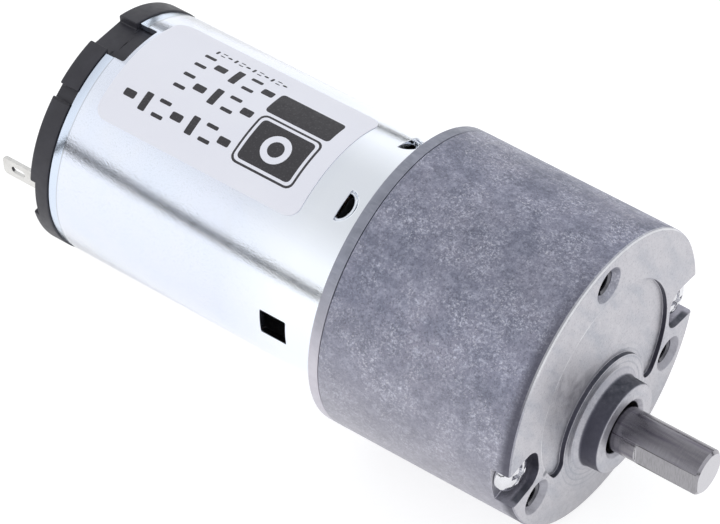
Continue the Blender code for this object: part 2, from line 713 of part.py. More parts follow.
def end_cap():
    rim_x = CAN_REAR_X - TOUCH
    seat_rear, seat_front = REAR_BEARING_X[0] - TOUCH, REAR_BEARING_X[1] + 0.15
    seat_r = REAR_BEARING_R + TOUCH
    tower_r = seat_r + 1.6
    clearance_x, clearance_r = -77.0, 1.6
    profile = [
        (clearance_x, 0.0),
        (clearance_x, clearance_r),
        (seat_rear, clearance_r),
        (seat_rear, seat_r),
        (seat_front, seat_r),
        (seat_front, tower_r),
        (CAP_FLOOR_X, tower_r),
        (CAP_FLOOR_X, CAP_BORE_R),
        (CAP_SPIGOT_X, CAP_BORE_R),
        (CAP_SPIGOT_X, CAP_SPIGOT_R),
        (rim_x, CAP_SPIGOT_R),
        (rim_x, CAP_R),
        (CAP_REAR_X + 0.3, CAP_R),
        (CAP_REAR_X, CAP_R - 0.3),
        (CAP_REAR_X, 6.0),
        (CAP_HUB_X + 0.4, 5.8),
        (CAP_HUB_X, 5.4),
        (CAP_HUB_X, 0.0),
    ]
    body = turned("end_cap", profile, BIG_SIDES)
    rear = CAP_REAR_X - 1.0
    half = CAP_KEY_HALF_WIDTH
    key = box_outline(rear, rim_x + 0.5, -half, half)
    cut(body, radial_plate("key", [key], CAP_SPIGOT_R - 0.1, CAP_R + 1.0, 0.0))
    nick = box_outline(rear, rim_x + 0.5, -CAP_NICK_HALF_WIDTH, CAP_NICK_HALF_WIDTH)
    cut(body, radial_plate("nick", [nick], CAP_R - 0.8, CAP_R + 1.0, CAP_NICK_ANGLE))
    for angle in TERMINAL_ANGLES.values():
        step = box_outline(rear, CAP_REAR_X + 0.9, -half, half)
        cut(body, radial_plate("step", [step], CAP_STEP_R, CAP_R + 1.0, angle))
        slot_half = TERMINAL_HALF_WIDTH + 0.3
        slot = box_outline(rear, CAP_SPIGOT_X, -slot_half, slot_half)
        low = TERMINAL_OUT - TERMINAL_THICK / 2 - 0.1
        high = TERMINAL_OUT + TERMINAL_THICK / 2 + 0.1
        cut(body, radial_plate("slot", [slot], low, high, angle))
    return finish(body, "black_plastic")


def terminals():
    """Two blades. The root inside the cap is a little thinner than the tab outside it."""
    tip, wide, nose, step = TERMINAL_TIP_X, TERMINAL_HALF_WIDTH, 0.6, 0.05
    tab = [(TERMINAL_SHOULDER_X, -wide), (TERMINAL_SHOULDER_X, wide), (tip + nose, wide)]
    tab += [(tip, wide - nose), (tip, -wide + nose), (tip + nose, -wide)]
    root = box_outline(TERMINAL_SHOULDER_X - 0.3, TERMINAL_ROOT_X, -wide, wide)
    slot_half, slot_r = 0.6, 0.5
    slot = []
    for end in (-1, 1):
        for point in range(7):
            turn = math.radians(-90.0 + 30.0 * point)
            x = TERMINAL_SLOT_X + end * (slot_half + slot_r * math.cos(turn))
            slot.append((x, end * slot_r * math.sin(turn)))
    low = TERMINAL_OUT - TERMINAL_THICK / 2
    high = TERMINAL_OUT + TERMINAL_THICK / 2
    for side, angle in TERMINAL_ANGLES.items():
        blade = radial_plate("terminal_" + side, [tab, slot], low, high, angle)
        join(blade, radial_plate("root", [root], low + step, high - step, angle))
        finish(blade, "terminal_tin")


def magnets():
    for place, middle in {"upper": 0.0, "lower": 180.0}.items():
        outline = sector(*MAGNET_R, middle - MAGNET_HALF_ANGLE, middle + MAGNET_HALF_ANGLE)
        finish(plate("magnet_" + place, [outline], *MAGNET_X), "ferrite")
    for side, middle in {"left": -90.0, "right": 90.0}.items():
        half = 90.0 - MAGNET_HALF_ANGLE - 3.0
        outline = sector(*MAGNET_SPRING_R, middle - half, middle + half)
        finish(plate("magnet_spring_" + side, [outline], *MAGNET_SPRING_X), "gear_steel")


def rotor_core_outline():
    outline = []
    for middle in POLE_ANGLES:
        stem = math.degrees(math.asin(POLE_HALF_WIDTH / SHOE_UNDER_R))
        root = math.degrees(math.asin(POLE_HALF_WIDTH / CORE_HUB_R))
        outline.append(polar(CORE_HUB_R, middle - root))
        outline.append(polar(SHOE_UNDER_R, middle - stem))
        outline.append(polar(CORE_R - 1.4, middle - SHOE_HALF_ANGLE + 2.0))
        outline += arc(CORE_R, middle - SHOE_HALF_ANGLE, middle + SHOE_HALF_ANGLE, 16)
        outline.append(polar(CORE_R - 1.4, middle + SHOE_HALF_ANGLE - 2.0))
        outline.append(polar(SHOE_UNDER_R, middle + stem))
        outline.append(polar(CORE_HUB_R, middle + root))
        outline.append(polar(CORE_HUB_R, middle + 60.0))
    return outline


def rotor():
    core = plate("rotor_core", [rotor_core_outline()], *CORE_X)
    cut(core, rod("bore", CORE_X[0] - 1, CORE_X[1] + 1, ARMATURE_R + PRESSED, SMALL_SIDES))
    finish(core, "gear_steel")
    low, high, wide = CORE_X[0] - COIL_SLACK, CORE_X[1] + COIL_SLACK, POLE_HALF_WIDTH + COIL_SLACK
    build = COIL_BUILD
    outside = rounded_box(low - build, high + build, -wide - build, wide + build, 1.2)
    for number, angle in enumerate(POLE_ANGLES, 1):
        inside = box_outline(low, high, -wide, wide)
        coil = radial_plate(f"winding_{number}", [outside, inside], *COIL_R, angle)
        finish(coil, "enamelled_copper")
    shaft = [(ARMATURE_REAR_X, 0), (ARMATURE_REAR_X, ARMATURE_R - 0.2)]
    shaft += [(ARMATURE_REAR_X + 0.2, ARMATURE_R), (ARMATURE_FRONT_X - 0.2, ARMATURE_R)]
    shaft += [(ARMATURE_FRONT_X, ARMATURE_R - 0.2), (ARMATURE_FRONT_X, 0)]
    finish(turned("armature_shaft", shaft, SMALL_SIDES), "ground_steel")
    inner, sides = ARMATURE_R + PRESSED, SMALL_SIDES
    spacer = tube("armature_spacer", *ARMATURE_SPACER_X, inner, ARMATURE_SPACER_R, sides)
    finish(spacer, "white_plastic")
    washer = tube("armature_washer", *ARMATURE_WASHER_X, inner, ARMATURE_WASHER_R, sides)
    finish(washer, "brass")


def commutator_and_brushes():
    inner, half = ARMATURE_R + PRESSED, SEGMENT_HALF_ANGLE
    sleeve = tube("commutator_sleeve", *SLEEVE_X, inner, SLEEVE_R, MIDDLE_SIDES)
    finish(sleeve, "black_plastic")
    for number, angle in enumerate(SEGMENT_ANGLES, 1):
        outline = sector(SLEEVE_R + TOUCH, COMMUTATOR_R, angle - half, angle + half)
        finish(plate(f"commutator_segment_{number}", [outline], *COMMUTATOR_X), "copper")
    inner_y, outer_y, half = COMMUTATOR_R - 0.3, BRUSH_END_Y, BRUSH_HALF_WIDTH
    arm = strip_outline(list(BRUSH_ARM), BRUSH_ARM_THICK)
    for side, sign in {"left": -1, "right": 1}.items():
        block = box_outline(*sorted((sign * inner_y, sign * outer_y)), -half, half)
        brush = plate("brush_" + side, [block], *BRUSH_X)
        cut(brush, rod("seat", -80.0, -60.0, COMMUTATOR_R + 0.08, BIG_SIDES))
        finish(brush, "carbon")
        mirrored = [(sign * y, sign * z) for y, z in arm]
        low, high = BRUSH_X[0] + 0.1, BRUSH_X[1] - 0.3
        finish(plate("brush_arm_" + side, [mirrored], low, high), "copper")


def motor_bearings():
    inner = ARMATURE_R + RUNNING
    front = tube("front_bearing", *BEARING_X, inner, BEARING_R, MIDDLE_SIDES)
    finish(front, "sintered_bronze")
    rear = tube("rear_bearing", *REAR_BEARING_X, inner, REAR_BEARING_R, MIDDLE_SIDES)
    finish(rear, "sintered_bronze")


def label():
    outline = sector(*LABEL_R, *LABEL_ANGLES, facet=FACET / 2)
    finish(plate("label", [outline], *LABEL_X), "paper")


gearbox_housing()
gearbox_back_plate()
fasteners()
gear_train()
pins_and_spacers()
output_shaft()
output_bearings()
motor_can()
end_cap()
terminals()
magnets()
rotor()
commutator_and_brushes()
motor_bearings()
label()
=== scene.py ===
"""The finished look of a brushed DC gear motor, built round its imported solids.

Sizes are in millimetres in the part's own frame: +X runs out along the output shaft, +Z is up and
the origin is the centre of the gearbox's front face. Angles round X are in degrees from straight
up, positive towards +Y.
"""

import json
import math

import bmesh
import bpy
from mathutils import Matrix, Vector


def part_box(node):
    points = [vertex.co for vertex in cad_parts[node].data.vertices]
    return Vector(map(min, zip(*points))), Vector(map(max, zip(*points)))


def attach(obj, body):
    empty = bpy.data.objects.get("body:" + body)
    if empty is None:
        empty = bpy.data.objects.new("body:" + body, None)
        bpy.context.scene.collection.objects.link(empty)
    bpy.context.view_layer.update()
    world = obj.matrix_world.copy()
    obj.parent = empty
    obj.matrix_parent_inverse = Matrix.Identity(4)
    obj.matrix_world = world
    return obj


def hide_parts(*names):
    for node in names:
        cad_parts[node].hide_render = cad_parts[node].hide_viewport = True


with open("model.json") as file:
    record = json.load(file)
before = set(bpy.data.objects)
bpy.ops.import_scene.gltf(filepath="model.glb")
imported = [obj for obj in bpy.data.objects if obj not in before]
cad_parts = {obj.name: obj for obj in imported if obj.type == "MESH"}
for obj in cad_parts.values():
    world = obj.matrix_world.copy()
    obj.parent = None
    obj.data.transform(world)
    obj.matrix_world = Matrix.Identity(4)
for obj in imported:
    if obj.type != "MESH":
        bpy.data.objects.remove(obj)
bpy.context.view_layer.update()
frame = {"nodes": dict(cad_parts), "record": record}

MM = 0.001
ALONG_X = Matrix(((0, 0, 1), (1, 0, 0), (0, 1, 0))).to_4x4()


def extent(node):
    """A node's lowest and highest corner, in millimetres."""
    low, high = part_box(node)
    return [c / MM for c in low], [c / MM for c in high]


# ---- Sizes taken from the frame ------------------------------------------------------------------

HOUSING_LOW, HOUSING_HIGH = extent("gearbox_housing")
PLATE_LOW, PLATE_HIGH = extent("gearbox_back_plate")
CAN_LOW, CAN_HIGH = extent("motor_can")
CAP_LOW, CAP_HIGH = extent("end_cap")
SHAFT_LOW, SHAFT_HIGH = extent("output_shaft")
LABEL_LOW, LABEL_HIGH = extent("label")
BLADE_LOW, BLADE_HIGH = extent("terminal_left")
BUSH_LOW, BUSH_HIGH = extent("output_front_bush")

BODY_R = HOUSING_HIGH[2]
SEAM_X = HOUSING_LOW[0]
BOSS_FACE_X = HOUSING_HIGH[0]
SHAFT_SPOT = (0.0, (SHAFT_LOW[2] + SHAFT_HIGH[2]) / 2)
SHAFT_R = (SHAFT_HIGH[2] - SHAFT_LOW[2]) / 2
SHAFT_END_X = SHAFT_HIGH[0]
CAN_R = CAN_HIGH[2]
CAN_REAR_X = CAN_LOW[0]
CAN_FRONT_X = PLATE_LOW[0] - 0.05
CAP_R = CAP_HIGH[1]
CAP_HUB_X = CAP_LOW[0]

# ---- Sizes of the fine shapes --------------------------------------------------------------------

FRONT_R = BODY_R - 0.2
CAVITY_R = BODY_R - 2.2
FRONT_INNER_X = -4.4
POCKET_R = 13.25
POCKET_DEPTH = 0.6
POCKET_TIP_R = 1.2
RING_R = 8.6
BOSS_R = 6.0
BOSS_BASE_R = 6.7
BOSS_HOLE_R = 3.5
BUSH_R = 4.5
NICK_SPOT = (-12.5, -5.3)

HOLE_ANGLES = (0.0, 120.0, -120.0)
HOLE_PITCH_R = 16.3
HOLE_DEPTH = 6.0
HOLE_PAD_R = 2.9
THREAD_MAJOR_R = 1.58
THREAD_MINOR_R = 1.25
THREAD_PITCH = 0.5
COUNTERSINK_R = 2.42
COUNTERSINK_DEPTH = 0.8

SCREW_ANGLES = {"left": -97.0, "right": 95.0}
SCREW_PITCH_R = 16.8
SCREW_R = 1.25
SCREW_HEAD_R = 2.7
SCREW_HEAD_HEIGHT = 1.9
SCREW_POST_R = 2.3
NOTCH_HALF_WIDTH = 3.1
NOTCH_INNER_R = 14.0
NOTCH_CORNER_R = 2.2
NOTCH_DEPTH = 2.7

PIN_SPOTS = ((-5.625, 2.60756), (5.625, 2.60756))
PIN_HOLE_R = 1.3
PLATE_BORE_R = 4.4
PLATE_SHAFT_HOLE_R = 2.75

JOURNAL_R = 1.5
SHAFT_CHAMFER = 0.4
SHAFT_SHOULDER_X = -12.1
FLAT_Y = -2.5
FLAT_START_X = 6.2

CAN_WALL = 1.0
CAN_NECK_R = 4.2
CAN_NECK_BORE_R = 3.4
CAN_KEY_LENGTH = 2.9
CAN_KEY_HALF_WIDTH = 3.35
LANCE_X = -33.8
LANCE_ANGLES = (-23.3, 23.3, 156.7, 203.3)
LANCE_LENGTH = 1.9
LANCE_HALF_WIDTH = 2.3
SIDE_ANGLES = {"left": -90.0, "right": 90.0}
WINDOW_X = (-39.4, -35.5)
WINDOW_HALF_WIDTH = 1.95
MOTOR_SCREW_ANGLES = (60.0, 240.0)
MOTOR_SCREW_PITCH_R = 12.5
MOTOR_SCREW_HOLE_R = 1.5

CAP_FACE_X = -76.0
CAP_FLOOR_X = -73.6
CAP_SPIGOT_X = -68.0
CAP_SPIGOT_R = 15.5
CAP_RIB_R = 14.6
CAP_KEY_HALF_WIDTH = 2.8
CAP_NICK_ANGLE = -36.0
CAP_NICK_HALF_WIDTH = 0.9
CAP_NICK_DEPTH = 0.8
CAP_STEP_R = 12.4
CAP_STEP_DEPTH = 0.9

BLADE_MIDDLE_R = 14.0
BLADE_THICK = 0.5
BLADE_HALF_WIDTH = 1.4
BLADE_NOSE = 0.6
BLADE_SLOT_X = -80.1
BLADE_SLOT_HALF_LENGTH = 1.1
BLADE_SLOT_HALF_WIDTH = 0.5

LABEL_ANGLES = (-38.6, 27.0)
LABEL_FACE_R = CAN_R + 0.1
PRINT_STEP = 0.01
PRINT_ROOT = 0.03
EMBLEM_X = -45.35
EMBLEM_ALONG = -4.6
ROW_START_X = -51.0

FLOOR_GAP = 0.2

SIDES = 192
ROUND = 96
SMALL = 40
SMOOTH_ANGLE = 32.0
WELD = 5e-7
BOOLEAN_WELD = 4e-6


# ---- Basic shapes --------------------------------------------------------------------------------


def polar(radius, angle):
    """The (y, z) place at a radius and an angle."""
    turn = math.radians(angle)
    return (radius * math.sin(turn), radius * math.cos(turn))


def rounded(profile, corners, steps=5):
    """A profile with some of its corners rounded; corners maps an index to a radius."""
    points = []
    for index, here in enumerate(profile):
        radius = corners.get(index, 0.0)
        if not radius:
            points.append(here)
            continue
        here = Vector(here)
        back = (Vector(profile[index - 1]) - here).normalized()
        ahead = (Vector(profile[(index + 1) % len(profile)]) - here).normalized()
        half = back.angle(ahead) / 2
        centre = here + (back + ahead).normalized() * radius / math.sin(half)
        start = here + back * radius / math.tan(half) - centre
        end = here + ahead * radius / math.tan(half) - centre
        for step in range(steps + 1):
            share = step / steps
            sweep = start.angle(end)
            weight_a = math.sin((1 - share) * sweep) / math.sin(sweep)
            weight_b = math.sin(share * sweep) / math.sin(sweep)
            points.append(tuple(centre + start * weight_a + end * weight_b))
    return points


def solid(name, shape):
    """Turns a bmesh into an object with closed, outward faces."""
    bmesh.ops.remove_doubles(shape, verts=shape.verts, dist=WELD)
    bmesh.ops.recalc_face_normals(shape, faces=shape.faces)
    mesh = bpy.data.meshes.new(name)
    shape.to_mesh(mesh)
    shape.free()
    made = bpy.data.objects.new(name, mesh)
    bpy.context.scene.collection.objects.link(made)
    return made


def lathe(name, profile, sides=SIDES, spot=(0.0, 0.0)):
    """A profile of (x, radius) turned round the X line through a spot."""
    shape = bmesh.new()
    rings = []
    for x, radius in profile:
        count = sides if radius > 0 else 1
        ring = []
        for side in range(count):
            y, z = polar(radius, 360.0 * side / sides)
            ring.append(shape.verts.new((x * MM, (y + spot[0]) * MM, (z + spot[1]) * MM)))
        rings.append(ring)
    pairs = list(zip(rings, rings[1:]))
    if profile[0][1] > 0:
        pairs.append((rings[-1], rings[0]))
    for one, two in pairs:
        for side in range(sides):
            after = (side + 1) % sides
            if len(one) == 1:
                shape.faces.new((one[0], two[side], two[after]))
            elif len(two) == 1:
                shape.faces.new((one[after], one[side], two[0]))
            else:
                shape.faces.new((one[side], two[side], two[after], one[after]))
    return solid(name, shape)


def rod(name, low, high, radius, sides=SMALL, spot=(0.0, 0.0)):
    return lathe(name, [(low, 0.0), (low, radius), (high, radius), (high, 0.0)], sides, spot)


def skin(shape, loops):
    """Joins a stack of equal loops of points by walls and closes both ends."""
    shape.faces.new(loops[0])
    shape.faces.new(loops[-1])
    for one, two in zip(loops, loops[1:]):
        for side in range(len(one)):
            after = (side + 1) % len(one)
            shape.faces.new((one[side], one[after], two[after], two[side]))


def prism(name, outline, low, high, basis=ALONG_X, spot=(0.0, 0.0)):
    """An outline without holes, extruded along the third axis of a basis."""
    shape = bmesh.new()
    loops = []
    for level in (low, high):
        loops.append([shape.verts.new((u * MM, v * MM, level * MM)) for u, v in outline])
    skin(shape, loops)
    shape.transform(Matrix.Translation((0, spot[0] * MM, spot[1] * MM)) @ basis)
    return solid(name, shape)


def radial_basis(angle):
    """Axes along X, round the can and outwards, at an angle."""
    turn = math.radians(angle)
    tangent = Vector((0, math.cos(turn), -math.sin(turn)))
    outward = Vector((0, math.sin(turn), math.cos(turn)))
    return Matrix((Vector((1, 0, 0)), tangent, outward)).transposed().to_4x4()


def combine(target, other, operation):
    modifier = target.modifiers.new("combine", "BOOLEAN")
    modifier.operation = operation
    modifier.solver = "EXACT"
    modifier.object = other
    bpy.context.view_layer.update()
    graph = bpy.context.evaluated_depsgraph_get()
    mesh = bpy.data.meshes.new_from_object(target.evaluated_get(graph))
    target.modifiers.remove(modifier)
    target.data = mesh
    bpy.data.objects.remove(other)


def cut(target, *cutters):
    for cutter in cutters:
        combine(target, cutter, "DIFFERENCE")


def join(target, *others):
    for other in others:
        combine(target, other, "UNION")


def soften(target, width, angle=SMOOTH_ANGLE):
    """Rounds the edges that Booleans left sharp."""
    shape = bmesh.new()
    shape.from_mesh(target.data)
    bmesh.ops.remove_doubles(shape, verts=shape.verts, dist=BOOLEAN_WELD)
    bmesh.ops.dissolve_limit(shape, angle_limit=0.0005, verts=shape.verts, edges=shape.edges)
    shape.to_mesh(target.data)
    shape.free()
    modifier = target.modifiers.new("edges", "BEVEL")
    modifier.width = width * MM
    modifier.segments = 2
    modifier.limit_method = "ANGLE"
    modifier.angle_limit = math.radians(angle)
    modifier.use_clamp_overlap = False


def box_outline(u_low, u_high, v_low, v_high, corner=0.0, steps=5):
    """A rectangle, with round corners if a corner radius is given."""
    points = [(u_low, v_low), (u_high, v_low), (u_high, v_high), (u_low, v_high)]
    if not corner:
        return points
    return rounded(points, dict.fromkeys(range(4), corner), steps)


def arc(radius, start, end, steps):
    """Points (y, z) from one angle to another."""
    return [polar(radius, start + (end - start) * n / steps) for n in range(steps + 1)]


def turned_outline(outline, angle):
    """An outline drawn at the top, turned to an angle round the axis."""
    turn = math.radians(angle)
    return [
        (u * math.cos(turn) + v * math.sin(turn), -u * math.sin(turn) + v * math.cos(turn))
        for u, v in outline
    ]


# ---- Materials -----------------------------------------------------------------------------------


class Surface:
    """A Principled material, with helpers that add procedural detail in object space."""

    # A Mix node has a set of sockets for each data type: these are the ones for colours.
    MIX_BELOW, MIX_ABOVE, MIX_RESULT = 6, 7, 2

    def __init__(self, name, colour, metallic, roughness):
        self.name = name
        self.material = bpy.data.materials.new(name)
        self.material.use_nodes = True
        self.tree = self.material.node_tree
        self.shader = self.tree.nodes["Principled BSDF"]
        self.shader.inputs["Base Color"].default_value = (*colour, 1.0)
        self.shader.inputs["Metallic"].default_value = metallic
        self.shader.inputs["Roughness"].default_value = roughness
        self.material.diffuse_color = (*colour, 1.0)
        self.colour = None
        self.normal = None
        self.place = self.tree.nodes.new("ShaderNodeTexCoord").outputs["Object"]

    def link(self, source, target):
        self.tree.links.new(source, target)

    def scaled(self, scale, turn=(0.0, 0.0, 0.0)):
        """Object coordinates turned, then stretched by a scale for each axis."""
        mapping = self.tree.nodes.new("ShaderNodeMapping")
        mapping.vector_type = "TEXTURE"
        mapping.inputs["Rotation"].default_value = turn
        mapping.inputs["Scale"].default_value = [1.0 / s for s in scale]
        self.link(self.place, mapping.inputs["Vector"])
        return mapping.outputs["Vector"]

    def noise(self, size, detail=3.0, stretch=(1.0, 1.0, 1.0), rough=0.55, turn=(0.0, 0.0, 0.0)):
        """Noise with blobs about size millimetres across, stretched along each turned axis."""
        node = self.tree.nodes.new("ShaderNodeTexNoise")
        node.inputs["Scale"].default_value = 1.0
        node.inputs["Detail"].default_value = detail
        node.inputs["Roughness"].default_value = rough
        scale = [1.0 / (size * MM * s) for s in stretch]
        self.link(self.scaled(scale, turn), node.inputs["Vector"])
        return node.outputs["Fac"]

    def ramp(self, source, low, high, low_value=0.0, high_value=1.0):
        """Maps low..high of a value to low_value..high_value."""
        node = self.tree.nodes.new("ShaderNodeMapRange")
        node.inputs["From Min"].default_value = low
        node.inputs["From Max"].default_value = high
        node.inputs["To Min"].default_value = low_value
        node.inputs["To Max"].default_value = high_value
        self.link(source, node.inputs["Value"])
        return node.outputs["Result"]

    def ramp_mm(self, source, low, high, low_value=0.0, high_value=1.0):
        """A ramp of a coordinate or a distance, from low to high in millimetres."""
        return self.ramp(source, low * MM, high * MM, low_value, high_value)

    def paint(self, factor, colour):
        """Mixes a colour into the base colour by a factor socket."""
        node = self.tree.nodes.new("ShaderNodeMix")
        node.data_type = "RGBA"
        self.link(factor, node.inputs["Factor"])
        base = self.shader.inputs["Base Color"]
        if self.colour is None:
            node.inputs[self.MIX_BELOW].default_value = base.default_value
        else:
            self.link(self.colour, node.inputs[self.MIX_BELOW])
        node.inputs[self.MIX_ABOVE].default_value = (*colour, 1.0)
        self.colour = node.outputs[self.MIX_RESULT]
        self.link(self.colour, base)

    def rough(self, source, low_value, high_value):
        """Lets the roughness follow a noise."""
        value = self.ramp(source, 0.3, 0.7, low_value, high_value)
        self.link(value, self.shader.inputs["Roughness"])

    def bump(self, height, distance, strength):
        """Adds relief of about distance millimetres."""
        node = self.tree.nodes.new("ShaderNodeBump")
        node.inputs["Strength"].default_value = strength
        node.inputs["Distance"].default_value = distance * MM
        self.link(height, node.inputs["Height"])
        if self.normal is not None:
            self.link(self.normal, node.inputs["Normal"])
        self.normal = node.outputs["Normal"]
        self.link(self.normal, self.shader.inputs["Normal"])

    def axis(self, name):
        """An object coordinate, in metres."""
        node = self.tree.nodes.new("ShaderNodeSeparateXYZ")
        self.link(self.place, node.inputs[0])
        return node.outputs[name]

    def facing(self, name):
        """A component of the surface's own normal."""
        geometry = self.tree.nodes.new("ShaderNodeNewGeometry")
        node = self.tree.nodes.new("ShaderNodeSeparateXYZ")
        self.link(geometry.outputs["True Normal"], node.inputs[0])
        return node.outputs[name]

    def from_axis(self, spot):
        """Distance from the X line through a (y, z) spot, in metres."""
        shift = self.tree.nodes.new("ShaderNodeVectorMath")
        shift.operation = "SUBTRACT"
        self.link(self.place, shift.inputs[0])
        shift.inputs[1].default_value = (0.0, spot[0] * MM, spot[1] * MM)
        flatten = self.tree.nodes.new("ShaderNodeVectorMath")
        flatten.operation = "MULTIPLY"
        self.link(shift.outputs[0], flatten.inputs[0])
        flatten.inputs[1].default_value = (0.0, 1.0, 1.0)
        length = self.tree.nodes.new("ShaderNodeVectorMath")
        length.operation = "LENGTH"
        self.link(flatten.outputs[0], length.inputs[0])
        return length.outputs["Value"]

    def sine(self, source, frequency):
        """The sine of a length in metres times a frequency in radians for each metre."""
        node = self.tree.nodes.new("ShaderNodeMath")
        node.operation = "SINE"
        self.link(self.times(source, frequency), node.inputs[0])
        return node.outputs[0]

    def times(self, one, two):
        """The product of two sockets or plain numbers."""
        node = self.tree.nodes.new("ShaderNodeMath")
        node.operation = "MULTIPLY"
        for socket, value in zip(node.inputs, (one, two)):
            if isinstance(value, float):
                socket.default_value = value
            else:
                self.link(value, socket)
        return node.outputs[0]


def cast_zinc():
    made = Surface("cast_zinc", (0.24, 0.247, 0.32), 1.0, 0.5)
    fleck = made.noise(0.42, 4.0, rough=0.75)
    grain = made.noise(0.3, 3.0, rough=0.7)
    paint_barrel(made, fleck, grain)
    front = made.ramp(made.facing("X"), 0.6, 0.97)
    paint_front(made, front, grain)
    paint_front_marks(made, front)
    paint_front_edges(made)
    made.rough(made.noise(1.2, 3.0), 0.38, 0.55)
    made.bump(fleck, 0.05, 0.45)
    made.bump(grain, 0.03, 0.4)
    return made


def paint_barrel(made, fleck, grain):
    """Clouds, bright scuffs and dark grain on the skin of the casting, with painted light making it
    lighter low down.
    """
    made.paint(made.ramp(made.noise(9.0, 4.0), 0.38, 0.66), (0.315, 0.312, 0.385))
    made.paint(made.ramp(made.noise(3.0, 4.0), 0.42, 0.68, 0.0, 0.85), (0.18, 0.19, 0.25))
    cloud = made.noise(1.1, 5.0, rough=0.7)
    made.paint(made.ramp(cloud, 0.47, 0.72, 0.0, 0.7), (0.43, 0.44, 0.54))
    scuffed = made.ramp(made.noise(4.5, 3.0), 0.42, 0.62, 0.25, 1.0)
    made.paint(made.times(scuffed, made.ramp(fleck, 0.5, 0.72)), (0.70, 0.71, 0.83))
    made.paint(made.ramp(grain, 0.5, 0.7, 0.0, 0.65), (0.12, 0.125, 0.16))
    scratch = made.noise(0.22, 3.0, (1.0, 1.0, 7.0), turn=(0.7, 0.35, 0.5))
    made.paint(made.times(scuffed, made.ramp(scratch, 0.56, 0.74)), (0.66, 0.66, 0.73))
    # Painted light: the casting's skin made lighter towards the bottom.
    painted_low_light = made.ramp_mm(made.axis("Z"), 12.0, -6.0, 0.0, 0.6)
    made.paint(painted_low_light, (0.47, 0.455, 0.49))


def paint_front(made, front, grain):
    """The lighter machined front face: broad streaks, specks, and painted shade darker towards its
    foot.
    """
    made.paint(front, (0.56, 0.55, 0.585))
    streak = made.noise(2.2, 5.0, (1.0, 1.0, 3.5), turn=(0.6, 0.0, 0.0))
    made.paint(made.times(front, made.ramp(streak, 0.45, 0.68, 0.0, 0.7)), (0.42, 0.435, 0.49))
    speck = made.noise(0.35, 3.0, rough=0.7)
    made.paint(made.times(front, made.ramp(speck, 0.5, 0.72, 0.0, 0.6)), (0.62, 0.62, 0.64))
    made.paint(made.times(front, made.ramp(grain, 0.54, 0.74, 0.0, 0.6)), (0.25, 0.25, 0.29))
    # Painted shade: the front face made darker towards its foot.
    foot = made.ramp_mm(made.axis("Z"), -8.0, -18.0, 0.0, 0.6)
    made.paint(made.times(front, foot), (0.36, 0.355, 0.38))


def paint_front_marks(made, front):
    """Cutter rings round the boss, a painted highlight along the pocket's left edge, and a nick."""
    from_shaft = made.from_axis(SHAFT_SPOT)
    rings = made.ramp(made.sine(from_shaft, 8500.0), 0.3, 1.0, 0.0, 0.4)
    outside = made.ramp_mm(from_shaft, RING_R + 1.8, RING_R)
    near_boss = made.times(outside, made.ramp_mm(from_shaft, BOSS_R - 0.2, BOSS_R + 0.2))
    made.paint(made.times(made.times(front, near_boss), rings), (0.27, 0.29, 0.34))
    from_centre = made.from_axis((0.0, 0.0))
    # Painted highlight: a bright line just outside the pocket's left edge.
    edge_highlight = made.ramp_mm(from_centre, POCKET_R - 0.01, POCKET_R + 0.07)
    edge_highlight = made.times(edge_highlight, made.ramp_mm(from_centre, POCKET_R + 0.27, POCKET_R + 0.19))
    left = made.ramp_mm(made.axis("Y"), -1.0, -4.0)
    left = made.times(left, made.ramp_mm(made.axis("Z"), -5.5, -4.5))
    uneven = made.ramp(made.noise(1.5, 3.0), 0.35, 0.6, 0.25, 0.85)
    made.paint(made.times(made.times(edge_highlight, left), made.times(front, uneven)), (0.78, 0.78, 0.80))
    nick = made.ramp_mm(made.from_axis(NICK_SPOT), 0.55, 0.25, 0.0, 0.7)
    made.paint(made.times(front, nick), (0.12, 0.125, 0.15))


def paint_front_edges(made):
    """Painted shade on the walls of the pocket and boss and along the left edge of the barrel, and
    a painted highlight on the upper rim.
    """
    x, z, from_centre = made.axis("X"), made.axis("Z"), made.from_axis((0.0, 0.0))
    facing_x = made.facing("X")
    # Painted shade: the walls of the pocket and of the boss made dark, unevenly.
    near_front = made.ramp_mm(x, -1.1, -0.8)
    inner = made.ramp_mm(from_centre, 19.2, 18.8)
    wall = made.ramp(facing_x, 0.8, 0.4)
    uneven_shade = made.ramp(made.noise(1.0, 4.0, (1.0, 1.0, 2.5)), 0.35, 0.65, 0.94, 0.7)
    wall_shade = made.times(made.times(near_front, inner), made.times(wall, uneven_shade))
    made.paint(wall_shade, (0.06, 0.065, 0.08))
    # Painted shade: a dark band along the barrel's left front rim.
    edge = made.times(made.ramp_mm(x, -2.1, -0.9), made.ramp(made.facing("Y"), 0.1, -0.7))
    rim = made.times(edge, made.ramp(facing_x, 0.75, 0.4))
    made.paint(made.times(rim, 0.85), (0.09, 0.088, 0.115))
    # Painted highlight: a bright line on the rounded rim's upper part.
    high = made.times(made.ramp_mm(z, 9.0, 14.0), made.ramp_mm(from_centre, 19.1, 19.3))
    rim_highlight = made.times(made.ramp(facing_x, 0.15, 0.4), made.ramp(facing_x, 0.97, 0.8))
    made.paint(made.times(made.times(high, rim_highlight), 0.7), (0.95, 0.95, 0.96))


